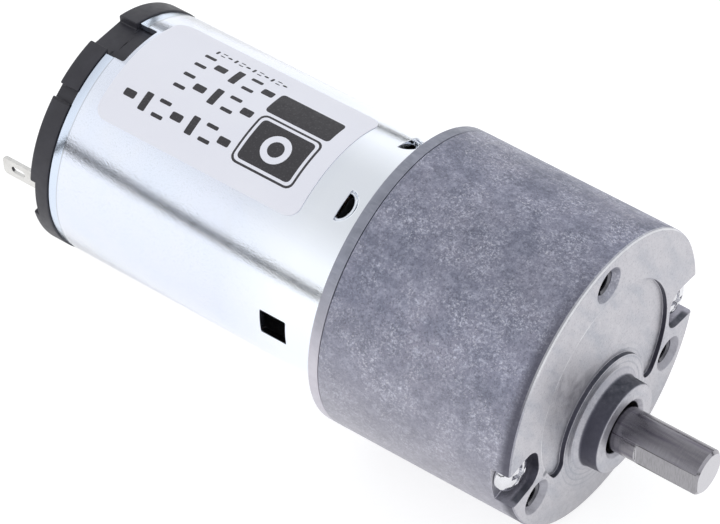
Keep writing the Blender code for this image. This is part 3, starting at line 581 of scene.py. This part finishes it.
def plated_steel():
    """Bright zinc plating with painted light making it whiter near the gearbox, a bluish rear rim,
    and painted shade in the crease in front of that rim.
    """
    made = Surface("plated_steel", (0.78, 0.815, 0.91), 1.0, 0.2)
    made.paint(made.ramp(made.noise(9.0, 3.0), 0.4, 0.7, 0.0, 0.6), (0.74, 0.80, 0.90))
    made.paint(made.ramp(made.noise(5.0, 2.0), 0.5, 0.75, 0.0, 0.4), (0.80, 0.82, 0.86))
    grain = made.noise(0.2, 3.0, (1.3, 1.0, 1.0), 0.7)
    made.paint(made.ramp(grain, 0.54, 0.72, 0.0, 0.35), (0.55, 0.60, 0.66))
    x = made.axis("X")
    # Painted light: the can made whiter towards the gearbox.
    made.paint(made.ramp_mm(x, -46.0, -36.0, 0.0, 0.8), (0.93, 0.96, 1.0))
    rim = made.ramp_mm(x, CAN_REAR_X + 1.5, CAN_REAR_X + 1.2, 0.0, 0.6)
    made.paint(rim, (0.62, 0.72, 0.86))
    # Painted shade: a dark line in the crease in front of the rear rim.
    crease = made.ramp_mm(x, CAN_REAR_X + 1.6, CAN_REAR_X + 1.5)
    crease = made.times(crease, made.ramp_mm(x, CAN_REAR_X + 1.3, CAN_REAR_X + 1.4))
    made.paint(made.times(crease, 0.5), (0.35, 0.38, 0.42))
    made.rough(made.noise(2.0, 3.0), 0.11, 0.15)
    made.bump(grain, 0.024, 0.42)
    made.bump(made.noise(0.3, 2.0), 0.014, 0.5)
    return made


def plate_zinc():
    made = Surface("plate_zinc", (0.32, 0.33, 0.39), 1.0, 0.46)
    made.paint(made.ramp(made.noise(2.0, 3.0), 0.4, 0.7), (0.27, 0.28, 0.33))
    fleck = made.noise(0.35, 2.0, (4.0, 1.0, 1.0))
    made.paint(made.ramp(fleck, 0.5, 0.75, 0.0, 0.5), (0.40, 0.41, 0.47))
    # Painted light: the plate made lighter towards the bottom.
    made.paint(made.ramp_mm(made.axis("Z"), 14.0, 2.0, 0.0, 0.8), (0.68, 0.65, 0.70))
    made.rough(made.noise(1.0, 2.0), 0.38, 0.52)
    made.bump(fleck, 0.02, 0.4)
    return made


def ground_steel():
    """Ground steel with marks along the shaft, and a milled flat with marks across it."""
    made = Surface("ground_steel", (0.215, 0.207, 0.228), 1.0, 0.16)
    line = made.noise(0.12, 2.0, (1.0, 12.0, 12.0))
    made.paint(made.ramp(line, 0.4, 0.7, 0.0, 0.5), (0.285, 0.276, 0.293))
    streak = made.noise(0.5, 3.0, (14.0, 1.0, 1.0))
    made.paint(made.ramp(streak, 0.45, 0.7, 0.0, 0.7), (0.13, 0.117, 0.152))
    on_side = made.ramp_mm(made.axis("Y"), FLAT_Y + 0.06, FLAT_Y + 0.03)
    flat = made.times(on_side, made.ramp_mm(made.axis("X"), FLAT_START_X - 0.1, FLAT_START_X))
    made.paint(flat, (0.345, 0.338, 0.356))
    mill = made.noise(0.14, 3.0, (1.0, 1.0, 9.0))
    made.paint(made.times(flat, made.ramp(mill, 0.45, 0.7, 0.0, 0.7)), (0.24, 0.235, 0.25))
    made.paint(made.ramp(made.facing("X"), 0.6, 0.95), (0.55, 0.54, 0.57))
    made.rough(line, 0.12, 0.24)
    made.bump(line, 0.008, 0.4)
    return made


def screw_steel():
    made = Surface("screw_steel", (0.74, 0.74, 0.77), 1.0, 0.12)
    made.paint(made.ramp(made.noise(1.0, 3.0), 0.45, 0.7, 0.0, 0.5), (0.62, 0.62, 0.64))
    made.rough(made.noise(0.6, 3.0), 0.08, 0.2)
    made.bump(made.noise(0.2, 2.0), 0.006, 0.4)
    return made


def gear_steel():
    made = Surface("gear_steel", (0.36, 0.36, 0.38), 1.0, 0.36)
    pore = made.noise(0.15, 2.0)
    made.paint(made.ramp(pore, 0.55, 0.7), (0.20, 0.20, 0.21))
    made.paint(made.ramp(made.noise(2.0, 3.0), 0.45, 0.7, 0.0, 0.5), (0.45, 0.44, 0.42))
    made.rough(made.noise(0.8, 3.0), 0.28, 0.46)
    made.bump(pore, 0.01, 0.4)
    return made


def coloured_metal(name, colour, darker, low, high):
    """A plain soft metal with a slightly uneven tarnish and fine turning marks."""
    made = Surface(name, colour, 1.0, (low + high) / 2)
    made.paint(made.ramp(made.noise(1.6, 3.0), 0.45, 0.72, 0.0, 0.8), darker)
    line = made.noise(0.1, 2.0, (1.0, 8.0, 8.0))
    made.rough(line, low, high)
    made.bump(line, 0.006, 0.4)
    return made


def sintered_bronze():
    made = Surface("sintered_bronze", (0.50, 0.36, 0.20), 1.0, 0.5)
    pore = made.noise(0.12, 2.0)
    made.paint(made.ramp(pore, 0.52, 0.66), (0.20, 0.14, 0.09))
    made.paint(made.ramp(made.noise(1.2, 2.0), 0.5, 0.75, 0.0, 0.6), (0.58, 0.44, 0.28))
    made.rough(pore, 0.42, 0.62)
    made.bump(pore, 0.012, 0.5)
    return made


def winding_copper():
    made = Surface("enamelled_copper", (0.48, 0.15, 0.055), 0.75, 0.3)
    wave = made.tree.nodes.new("ShaderNodeTexWave")
    wave.wave_type = "BANDS"
    wave.bands_direction = "DIAGONAL"
    wave.inputs["Scale"].default_value = 1.0
    wave.inputs["Distortion"].default_value = 1.5
    made.link(made.scaled((900.0, 900.0, 900.0)), wave.inputs["Vector"])
    made.paint(made.ramp(wave.outputs["Fac"], 0.2, 0.9), (0.66, 0.27, 0.11))
    made.rough(made.noise(0.6, 2.0), 0.24, 0.4)
    made.bump(wave.outputs["Fac"], 0.06, 0.6)
    return made


def moulded(name, colour, other, low, high, grain_size=0.18):
    """Moulded plastic: a fine eroded grain and slow changes of tone."""
    made = Surface(name, colour, 0.0, (low + high) / 2)
    made.paint(made.ramp(made.noise(3.0, 3.0), 0.4, 0.7), other)
    grain = made.noise(grain_size, 2.0)
    made.rough(made.noise(1.0, 3.0), low, high)
    made.bump(grain, 0.02, 0.35)
    return made


def ferrite():
    made = Surface("ferrite", (0.065, 0.065, 0.07), 0.0, 0.6)
    made.paint(made.ramp(made.noise(0.5, 4.0), 0.45, 0.7), (0.11, 0.11, 0.115))
    made.rough(made.noise(1.0, 3.0), 0.45, 0.72)
    made.bump(made.noise(0.3, 3.0), 0.02, 0.5)
    return made


def label_paper():
    made = Surface("paper", (0.86, 0.865, 0.94), 0.0, 0.42)
    made.paint(made.ramp(made.noise(6.0, 2.0), 0.4, 0.7, 0.0, 0.6), (0.88, 0.885, 0.95))
    made.rough(made.noise(0.8, 3.0), 0.36, 0.48)
    made.bump(made.noise(0.25, 2.0), 0.008, 0.3)
    return made


def ink():
    made = Surface("ink", (0.035, 0.033, 0.038), 0.0, 0.5)
    made.paint(made.ramp(made.noise(0.25, 2.0), 0.55, 0.75, 0.0, 0.6), (0.10, 0.095, 0.105))
    made.rough(made.noise(0.6, 2.0), 0.42, 0.6)
    return made


def finishes():
    """Every material, by the name of its finish."""
    made = (
        cast_zinc(),
        plated_steel(),
        plate_zinc(),
        ground_steel(),
        screw_steel(),
        gear_steel(),
        sintered_bronze(),
        winding_copper(),
        ferrite(),
        label_paper(),
        ink(),
        coloured_metal("brass", (0.78, 0.60, 0.28), (0.64, 0.47, 0.22), 0.2, 0.36),
        coloured_metal("thread_zinc", (0.14, 0.14, 0.155), (0.05, 0.05, 0.06), 0.25, 0.4),
        coloured_metal("terminal_tin", (0.72, 0.71, 0.69), (0.62, 0.61, 0.59), 0.24, 0.4),
        coloured_metal("copper", (0.80, 0.42, 0.26), (0.62, 0.30, 0.18), 0.2, 0.38),
        moulded("black_plastic", (0.028, 0.027, 0.035), (0.038, 0.037, 0.047), 0.42, 0.56),
        moulded("white_plastic", (0.78, 0.78, 0.76), (0.72, 0.72, 0.69), 0.36, 0.5),
        moulded("carbon", (0.045, 0.045, 0.047), (0.075, 0.075, 0.08), 0.4, 0.6, 0.1),
    )
    return {surface.name: surface.material for surface in made}


FINISHES = finishes()


def dress(target, finish, body="root", nodes=()):
    """Gives a new piece its material and slot, puts it on its body and hides the frame's parts it
    replaces.
    """
    target.data.materials.clear()
    target.data.materials.append(FINISHES[finish])
    target.data.shade_smooth()
    target.data.set_sharp_from_angle(angle=math.radians(SMOOTH_ANGLE))
    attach(target, body)
    if nodes:
        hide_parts(*nodes)


# ---- Gearbox housing -----------------------------------------------------------------------------


def pocket_outline():
    """The shallow round pocket of the front face, less the flush ring round the shaft boss.

    Each end, between the pocket's edge and the ring, is a round that touches both.
    """
    shaft_z, tip = SHAFT_SPOT[1], POCKET_TIP_R
    outer, ring = POCKET_R - tip, RING_R + tip
    tip_z = (ring**2 - outer**2 - shaft_z**2) / (-2 * shaft_z)
    tip_y = math.sqrt(outer**2 - tip_z**2)
    over = math.degrees(math.atan2(tip_y, tip_z))
    under = math.degrees(math.atan2(tip_y, tip_z - shaft_z))
    right = [(tip_y + y, tip_z + z) for y, z in arc(tip, over, under + 180.0, 12)]
    left = [(-y, z) for y, z in reversed(right)]
    top = arc(POCKET_R, -over, over, SIDES // 2)
    bottom = [(y, z + shaft_z) for y, z in arc(RING_R, under, -under, ROUND // 2)]
    return top + right[1:] + bottom[1:-1] + left[:-1]


def mounting_hole(angle):
    profile = [(1.0, 0.0), (1.0, COUNTERSINK_R), (0.0, COUNTERSINK_R)]
    profile.append((-COUNTERSINK_DEPTH, THREAD_MAJOR_R))
    profile += [(-HOLE_DEPTH, THREAD_MAJOR_R), (-HOLE_DEPTH - 0.8, 0.0)]
    return lathe("hole", profile, SMALL, polar(HOLE_PITCH_R, angle))


def gearbox_housing():
    profile = [
        (0.0, 0.0),
        (0.0, FRONT_R),
        (SEAM_X, BODY_R),
        (SEAM_X, CAVITY_R),
        (FRONT_INNER_X, CAVITY_R),
        (FRONT_INNER_X, 0.0),
    ]
    body = lathe("gearbox_shell", rounded(profile, {1: 0.45, 2: 0.15, 4: 1.0}, 3))
    inside = FRONT_INNER_X + 0.4
    cut(body, prism("pocket", pocket_outline(), -POCKET_DEPTH, 1.0))
    boss = [
        (inside, 0.0),
        (inside, BOSS_BASE_R),
        (0.0, BOSS_BASE_R + 0.3),
        (0.6, BOSS_R + 0.1),
        (BOSS_FACE_X, BOSS_R),
        (BOSS_FACE_X, 0.0),
    ]
    join(body, lathe("boss", rounded(boss, {3: 0.5, 4: 0.25}), ROUND, SHAFT_SPOT))
    join(body, rod("bush_seat", BUSH_LOW[0], inside, BUSH_R + 1.7, ROUND, SHAFT_SPOT))
    for angle in HOLE_ANGLES:
        spot = polar(HOLE_PITCH_R, angle)
        join(body, rod("pad", -HOLE_DEPTH - 1.2, inside, HOLE_PAD_R, SMALL, spot))
    for angle in SCREW_ANGLES.values():
        spot = polar(SCREW_PITCH_R, angle)
        join(body, rod("post", SEAM_X + 0.05, inside, SCREW_POST_R, SMALL, spot))
    for angle in SCREW_ANGLES.values():
        half = NOTCH_HALF_WIDTH
        notch = box_outline(-half, half, NOTCH_INNER_R, BODY_R + 5.0, NOTCH_CORNER_R)
        cut(body, prism("notch", turned_outline(notch, angle), -NOTCH_DEPTH, 1.0))
        spot = polar(SCREW_PITCH_R, angle)
        cut(body, rod("screw_way", SEAM_X - 1.0, 0.0, SCREW_R + 0.25, SMALL, spot))
    for angle in HOLE_ANGLES:
        cut(body, mounting_hole(angle))
    for spot in PIN_SPOTS:
        cut(body, rod("pin_hole", -10.0, -2.0, PIN_HOLE_R, SMALL, spot))
    mouth_r, beyond = BOSS_HOLE_R + 0.55, BOSS_FACE_X + 1.0
    mouth = [(0.0, 0.0), (0.0, BOSS_HOLE_R), (BOSS_FACE_X - 0.45, BOSS_HOLE_R)]
    mouth += [(BOSS_FACE_X, mouth_r), (beyond, mouth_r), (beyond, 0.0)]
    cut(
        body,
        rod("bush_bore", -10.0, BUSH_HIGH[0] + 0.05, BUSH_R + 0.05, ROUND, SHAFT_SPOT),
        lathe("boss_hole", mouth, ROUND, SHAFT_SPOT),
    )
    soften(body, 0.08)
    dress(body, "cast_zinc", nodes=["gearbox_housing"])


def thread(name, spot, deep, shallow):
    """The ridge of a thread on the wall of a hole: a three-sided strip wound along a helix."""
    shape = bmesh.new()
    per_turn = 28
    steps = int((shallow - deep) / THREAD_PITCH * per_turn)
    outer, inner, half = THREAD_MAJOR_R + 0.06, THREAD_MINOR_R, THREAD_PITCH * 0.46
    rows = []
    for step in range(steps + 1):
        x = deep + THREAD_PITCH * step / per_turn
        row = []
        for shift, radius in ((-half, outer), (0.0, inner), (half, outer)):
            y, z = polar(radius, 360.0 * step / per_turn)
            place = ((x + shift) * MM, (y + spot[0]) * MM, (z + spot[1]) * MM)
            row.append(shape.verts.new(place))
        rows.append(row)
    skin(shape, rows)
    dress(solid(name, shape), "thread_zinc")


def mounting_threads():
    deep, shallow = -HOLE_DEPTH + 0.3, -COUNTERSINK_DEPTH - 0.1
    for place, angle in zip(("upper", "right", "left"), HOLE_ANGLES):
        thread("mounting_thread_" + place, polar(HOLE_PITCH_R, angle), deep, shallow)


def back_plate():
    low, high = PLATE_LOW[0], PLATE_HIGH[0]
    profile = [(low, PLATE_BORE_R), (low, BODY_R), (high, BODY_R), (high, PLATE_BORE_R)]
    body = lathe("gearbox_cover_plate", rounded(profile, {1: 0.3, 2: 0.12}))
    holes = [(spot, PIN_HOLE_R) for spot in PIN_SPOTS]
    holes += [(polar(SCREW_PITCH_R, a), SCREW_R + 0.05) for a in SCREW_ANGLES.values()]
    holes += [(polar(MOTOR_SCREW_PITCH_R, a), MOTOR_SCREW_HOLE_R) for a in MOTOR_SCREW_ANGLES]
    holes.append((SHAFT_SPOT, PLATE_SHAFT_HOLE_R))
    for spot, radius in holes:
        cut(body, rod("hole", low - 1.0, high + 1.0, radius, SMALL, spot))
    soften(body, 0.08)
    dress(body, "plate_zinc", nodes=["gearbox_back_plate"])


def cross_recess(spot, top, arm, half, depth):
    """A tapered four-armed cutter."""
    shape = bmesh.new()
    levels = []
    for x, scale in ((top + 0.5, 1.25), (top - depth, 0.5)):
        a, b = arm * scale, half * scale
        outline = [(b, a), (b, b), (a, b), (a, -b), (b, -b), (b, -a)]
        outline += [(-b, -a), (-b, -b), (-a, -b), (-a, b), (-b, b), (-b, a)]
        outline = turned_outline(outline, 20.0)
        level = [((y + spot[0]) * MM, (z + spot[1]) * MM) for y, z in outline]
        levels.append([shape.verts.new((x * MM, y, z)) for y, z in level])
    skin(shape, levels)
    return solid("recess", shape)


def housing_screws():
    seat = -NOTCH_DEPTH + 0.05
    top = seat + SCREW_HEAD_HEIGHT
    for side, angle in SCREW_ANGLES.items():
        spot = polar(SCREW_PITCH_R, angle)
        profile = [
            (top, 0.0),
            (top - 0.05, SCREW_HEAD_R * 0.35),
            (top - 0.2, SCREW_HEAD_R * 0.66),
            (top - 0.55, SCREW_HEAD_R * 0.9),
            (top - 1.05, SCREW_HEAD_R),
            (seat, SCREW_HEAD_R),
            (seat, SCREW_R),
            (PLATE_LOW[0] + 0.4, SCREW_R),
            (PLATE_LOW[0] + 0.1, SCREW_R - 0.3),
            (PLATE_LOW[0] + 0.1, 0.0),
        ]
        corners = {1: 1.2, 2: 1.0, 3: 0.8, 4: 0.6, 5: 0.12}
        body = lathe("notch_screw_" + side, rounded(profile, corners, 4), 72, spot)
        cut(body, cross_recess(spot, top, 1.45, 0.34, 1.3))
        soften(body, 0.03, 40.0)
        dress(body, "screw_steel", nodes=["housing_screw_" + side])


def output_shaft():
    profile = [
        (SHAFT_END_X, 0.0),
        (SHAFT_END_X, SHAFT_R - SHAFT_CHAMFER),
        (SHAFT_END_X - SHAFT_CHAMFER, SHAFT_R),
        (SHAFT_SHOULDER_X, SHAFT_R),
        (SHAFT_SHOULDER_X, JOURNAL_R),
        (SHAFT_LOW[0], JOURNAL_R),
        (SHAFT_LOW[0], 0.0),
    ]
    body = lathe("drive_shaft", profile, ROUND, SHAFT_SPOT)
    side = box_outline(FLAT_START_X, SHAFT_END_X + 1.0, FLAT_Y - 5.0, FLAT_Y)
    side = rounded(side, {3: 0.45}, 6)
    cut(body, prism("flat", side, -5.0, 5.0, Matrix.Identity(4), SHAFT_SPOT))
    soften(body, 0.05, 25.0)
    dress(body, "ground_steel", "output", ["output_shaft"])


# ---- Motor ---------------------------------------------------------------------------------------


def half_moon(centre_x, half_width, depth):
    """Flat towards the rear, round towards the front."""
    steps = 20
    points = []
    for step in range(steps + 1):
        turn = math.pi * step / steps
        points.append((centre_x + depth * math.sin(turn), -half_width * math.cos(turn)))
    return points


def lance(angle):
    """A cutter for a pressed-in half moon: it gets smaller as it goes in."""
    shape = bmesh.new()
    levels = []
    for shift, share in ((0.5, 1.3), (0.0, 1.0), (-0.35, 0.82), (-1.3, 0.3)):
        half_width = LANCE_HALF_WIDTH * (0.55 + 0.45 * share)
        outline = half_moon(LANCE_X, half_width, LANCE_LENGTH * share)
        radius = CAN_R + shift
        levels.append([shape.verts.new((x * MM, along * MM, radius * MM)) for x, along in outline])
    skin(shape, levels)
    shape.transform(radial_basis(angle))
    return solid("lance", shape)


def lance_ridge(angle):
    """The bent edge of the pressed tongue, standing inside the half moon."""
    outer = half_moon(LANCE_X, LANCE_HALF_WIDTH - 0.3, LANCE_LENGTH - 0.4)
    inner = half_moon(LANCE_X, LANCE_HALF_WIDTH - 0.55, LANCE_LENGTH - 0.7)
    outline = outer + inner[::-1]
    return prism("ridge", outline, CAN_R - 1.25, CAN_R - 0.45, radial_basis(angle))


def motor_can():
    inner = CAN_R - CAN_WALL
    wall = CAN_FRONT_X - CAN_WALL
    profile = [
        (CAN_HIGH[0], CAN_NECK_BORE_R),
        (CAN_HIGH[0], CAN_NECK_R),
        (CAN_FRONT_X, CAN_NECK_R),
        (CAN_FRONT_X, CAN_R),
        (CAN_REAR_X + 1.45, CAN_R),
        (CAN_REAR_X + 1.3, CAN_R - 0.07),
        (CAN_REAR_X, CAN_R - 0.1),
        (CAN_REAR_X, inner),
        (wall, inner),
        (wall, CAN_NECK_BORE_R),
    ]
    body = lathe("steel_can", rounded(profile, {1: 0.2, 3: 1.0, 6: 0.2, 8: 0.6}, 6))
    deep, out = CAN_R - 2.2, CAN_R + 1.0
    for angle in LANCE_ANGLES:
        cut(body, lance(angle))
        join(body, lance_ridge(angle))
    window = box_outline(*WINDOW_X, -WINDOW_HALF_WIDTH, WINDOW_HALF_WIDTH, 0.15, 2)
    for angle in SIDE_ANGLES.values():
        cut(body, prism("window", window, deep, out, radial_basis(angle)))
    key_low, key_high = CAN_REAR_X - 1.0, CAN_REAR_X + CAN_KEY_LENGTH
    key = box_outline(key_low, key_high, -CAN_KEY_HALF_WIDTH, CAN_KEY_HALF_WIDTH, 0.25, 2)
    cut(body, prism("key", key, deep, out, radial_basis(0.0)))
    for angle in MOTOR_SCREW_ANGLES:
        spot = polar(MOTOR_SCREW_PITCH_R, angle)
        cut(body, rod("hole", -32.0, -28.0, MOTOR_SCREW_HOLE_R, SMALL, spot))
    soften(body, 0.08)
    dress(body, "plated_steel", nodes=["motor_can"])


def end_cap():
    rim_x, beyond = CAN_REAR_X - 0.05, CAP_HUB_X - 1.0
    profile = [
        (-77.0, 0.0),
        (-77.0, 1.6),
        (-75.6, 1.6),
        (-75.6, 3.6),
        (-72.4, 3.6),
        (-72.4, 5.2),
        (CAP_FLOOR_X, 5.2),
        (CAP_FLOOR_X, CAP_RIB_R),
        (CAP_SPIGOT_X, CAP_RIB_R),
        (CAP_SPIGOT_X, CAP_SPIGOT_R),
        (rim_x, CAP_SPIGOT_R),
        (rim_x, CAP_R),
        (CAP_FACE_X, CAP_R),
        (CAP_FACE_X, 6.1),
        (CAP_HUB_X, 5.6),
        (CAP_HUB_X, 0.0),
    ]
    body = lathe("plastic_cap", rounded(profile, {11: 0.12, 12: 0.35, 13: 0.4, 14: 0.4}))
    half, out = CAP_KEY_HALF_WIDTH, CAP_R + 1.0
    key = box_outline(beyond, rim_x + 0.5, -half, half)
    cut(body, prism("key", key, CAP_SPIGOT_R - 0.1, out, radial_basis(0.0)))
    nick = box_outline(beyond, rim_x + 0.5, -CAP_NICK_HALF_WIDTH, CAP_NICK_HALF_WIDTH)
    cut(body, prism("nick", nick, CAP_R - CAP_NICK_DEPTH, out, radial_basis(CAP_NICK_ANGLE)))
    step = box_outline(beyond, CAP_FACE_X + CAP_STEP_DEPTH, -half, half)
    slot_half = BLADE_HALF_WIDTH + 0.3
    slot = box_outline(beyond, CAP_SPIGOT_X, -slot_half, slot_half)
    slot_low = BLADE_MIDDLE_R - BLADE_THICK / 2 - 0.1
    slot_high = BLADE_MIDDLE_R + BLADE_THICK / 2 + 0.1
    for angle in SIDE_ANGLES.values():
        cut(body, prism("step", step, CAP_STEP_R, out, radial_basis(angle)))
        cut(body, prism("slot", slot, slot_low, slot_high, radial_basis(angle)))
    soften(body, 0.12)
    dress(body, "black_plastic", nodes=["end_cap"])


def terminals():
    half = BLADE_HALF_WIDTH
    blade = box_outline(BLADE_LOW[0], BLADE_HIGH[0], -half, half)
    blade = rounded(blade, {0: BLADE_NOSE, 3: BLADE_NOSE}, 5)
    low, high = BLADE_MIDDLE_R - BLADE_THICK / 2, BLADE_MIDDLE_R + BLADE_THICK / 2
    rear, front = BLADE_SLOT_X - BLADE_SLOT_HALF_LENGTH, BLADE_SLOT_X + BLADE_SLOT_HALF_LENGTH
    half = BLADE_SLOT_HALF_WIDTH
    slot = box_outline(rear, front, -half, half, half - 0.01, 6)
    for side, angle in SIDE_ANGLES.items():
        body = prism("solder_blade_" + side, blade, low, high, radial_basis(angle))
        cut(body, prism("slot", slot, low - 0.75, high + 0.75, radial_basis(angle)))
        soften(body, 0.06)
        dress(body, "terminal_tin", nodes=["terminal_" + side])


# ---- Label ---------------------------------------------------------------------------------------


def wrapped(name, outline, inner, outer):
    """An outline in (x, arc length) bent round the can, between two radii."""
    shape = bmesh.new()
    loops = []
    for level in (inner, outer):
        loops.append([shape.verts.new((u, v, level)) for u, v in outline])
    skin(shape, loops)
    low = min(v for _, v in outline)
    high = max(v for _, v in outline)
    pitch = 0.5
    for step in range(1, int((high - low) / pitch) + 1):
        everything = shape.verts[:] + shape.edges[:] + shape.faces[:]
        place = (0.0, low + pitch * step, 0.0)
        bmesh.ops.bisect_plane(shape, geom=everything, plane_co=place, plane_no=(0, 1, 0))
    for vert in shape.verts:
        x, along, radius = vert.co
        y, z = polar(radius, math.degrees(along / CAN_R))
        vert.co = (x * MM, y * MM, z * MM)
    return solid(name, shape)


def label():
    arc_per_degree = math.radians(CAN_R)
    low, high = (angle * arc_per_degree for angle in LABEL_ANGLES)
    outline = box_outline(LABEL_LOW[0], LABEL_HIGH[0], low, high, 1.8, 8)
    paper = wrapped("rating_label", outline, CAN_R + 0.02, LABEL_FACE_R)
    dress(paper, "paper", nodes=["label"])
    root = LABEL_FACE_R - PRINT_ROOT
    for number, mark in enumerate(label_marks(), 1):
        printed = wrapped(f"label_mark_{number}", mark, root, LABEL_FACE_R + PRINT_STEP)
        dress(printed, "ink")
    for number, (finish, layer) in enumerate(emblem_layers(), 1):
        top = LABEL_FACE_R + PRINT_STEP * number
        dress(wrapped(f"label_emblem_{number}", layer, root, top), finish)


def emblem_layers():
    """A plain framed square with a ring in it, as a stack of thin dark and light layers."""
    layers = []
    for finish, half_x, half_along, corner in (
        ("ink", 4.7, 3.75, 1.0),
        ("paper", 4.4, 3.45, 0.8),
        ("ink", 4.0, 3.05, 0.6),
    ):
        x_low, x_high = EMBLEM_X - half_x, EMBLEM_X + half_x
        low, high = EMBLEM_ALONG - half_along, EMBLEM_ALONG + half_along
        layers.append((finish, box_outline(x_low, x_high, low, high, corner, 4)))
    for finish, radius in (("paper", 2.0), ("ink", 1.1)):
        disc = [(EMBLEM_X + x, EMBLEM_ALONG + along) for x, along in arc(radius, 0.0, 345.0, 23)]
        layers.append((finish, disc))
    return layers


def label_marks():
    """Dark shapes in place of print: a banner, and four rows of plain dashes."""
    marks = [box_outline(-50.3, -40.6, -0.4, 3.4, 0.5, 3)]
    for middle, count, pitch, height in (
        (-6.7, 7, 2.45, 2.6),
        (-1.9, 5, 2.45, 2.6),
        (2.3, 5, 2.45, 2.6),
        (5.0, 12, 0.95, 0.8),
    ):
        low, high = middle - height / 2, middle + height / 2
        stroke = height * 0.2
        for place in range(count):
            right = ROW_START_X - place * pitch
            left = right - pitch * 0.7
            if place % 3 == 1:
                marks.append(box_outline(left, right, low, low + stroke, 0.15, 2))
                marks.append(box_outline(left, right, high - stroke, high, 0.15, 2))
            elif place % 3 == 2:
                centre = (left + right) / 2
                marks.append(box_outline(centre - stroke, centre + stroke, low, high, 0.15, 2))
            else:
                marks.append(box_outline(left, right, middle - stroke, middle + stroke, 0.2, 2))
    return marks


# ---- Pieces kept from the frame ------------------------------------------------------------------


def kept_nodes():
    """Gives the solids that stay from the frame their materials, by their slots."""
    slots = {p["node"]: p["material_slot"] for p in frame["record"]["subparts"]}
    for name, node in frame["nodes"].items():
        finish = FINISHES[slots[name]]
        if node.material_slots:
            for holder in node.material_slots:
                holder.material = finish
        else:
            node.data.materials.append(finish)


# ---- Camera, floor and light ---------------------------------------------------------------------


def camera():
    data = bpy.data.cameras.new("camera")
    data.sensor_width = 36.0
    data.lens = 171.8
    data.clip_start = 0.01
    data.clip_end = 10.0
    made = bpy.data.objects.new("camera", data)
    right = Vector((0.79967, 0.59992, -0.02409))
    up = Vector((-0.42175, 0.58980, 0.68858))
    back = Vector((0.42738, -0.54048, 0.72467))
    turn = Matrix((right, up, back)).transposed().to_4x4()
    place = Matrix.Translation((0.14560, -0.23048, 0.30690))
    made.matrix_world = place @ turn
    bpy.context.scene.collection.objects.link(made)
    bpy.context.scene.camera = made


def floor():
    """A pale table just under the gearbox."""
    shape = bmesh.new()
    bmesh.ops.create_grid(shape, x_segments=1, y_segments=1, size=2.0)
    made = solid("floor", shape)
    made.location.z = -(BODY_R + FLOOR_GAP) * MM
    surface = bpy.data.materials.new("floor")
    surface.use_nodes = True
    shader = surface.node_tree.nodes["Principled BSDF"]
    shader.inputs["Base Color"].default_value = (0.5, 0.5, 0.5, 1.0)
    shader.inputs["Roughness"].default_value = 0.9
    shader.inputs["Emission Color"].default_value = (1.0, 1.0, 1.0, 1.0)
    shader.inputs["Emission Strength"].default_value = 0.69
    made.data.materials.append(surface)


def studio():
    """A white room. Behind the object it is plain white; metal mirrors a dark band at its foot."""
    world = bpy.data.worlds.new("studio")
    bpy.context.scene.world = world
    world.use_nodes = True
    tree = world.node_tree
    place = tree.nodes.new("ShaderNodeTexCoord")
    split = tree.nodes.new("ShaderNodeSeparateXYZ")
    ramp = tree.nodes.new("ShaderNodeValToRGB")
    tree.links.new(place.outputs["Generated"], split.inputs[0])
    tree.links.new(split.outputs["Z"], ramp.inputs["Fac"])
    stops = ramp.color_ramp.elements
    stops[0].position, stops[0].color = 0.0, (0.02, 0.022, 0.025, 1.0)
    stops[1].position, stops[1].color = 1.0, (0.75, 0.76, 0.78, 1.0)
    for position, level in ((0.075, 0.03), (0.13, 1.1), (0.42, 1.08), (0.6, 0.95), (0.85, 0.78)):
        stop = stops.new(position)
        stop.color = (level * 0.985, level, level * 1.02, 1.0)
    room = tree.nodes["Background"]
    tree.links.new(ramp.outputs["Color"], room.inputs["Color"])
    backdrop = tree.nodes.new("ShaderNodeBackground")
    backdrop.inputs["Color"].default_value = (1.0, 1.0, 1.0, 1.0)
    seen = tree.nodes.new("ShaderNodeLightPath")
    mixed = tree.nodes.new("ShaderNodeMixShader")
    tree.links.new(seen.outputs["Is Camera Ray"], mixed.inputs[0])
    tree.links.new(room.outputs[0], mixed.inputs[1])
    tree.links.new(backdrop.outputs[0], mixed.inputs[2])
    tree.links.new(mixed.outputs[0], tree.nodes["World Output"].inputs["Surface"])
    bpy.context.scene.view_settings.view_transform = "Standard"


camera()
floor()
studio()
kept_nodes()
gearbox_housing()
mounting_threads()
back_plate()
housing_screws()
output_shaft()
motor_can()
end_cap()
terminals()
label()
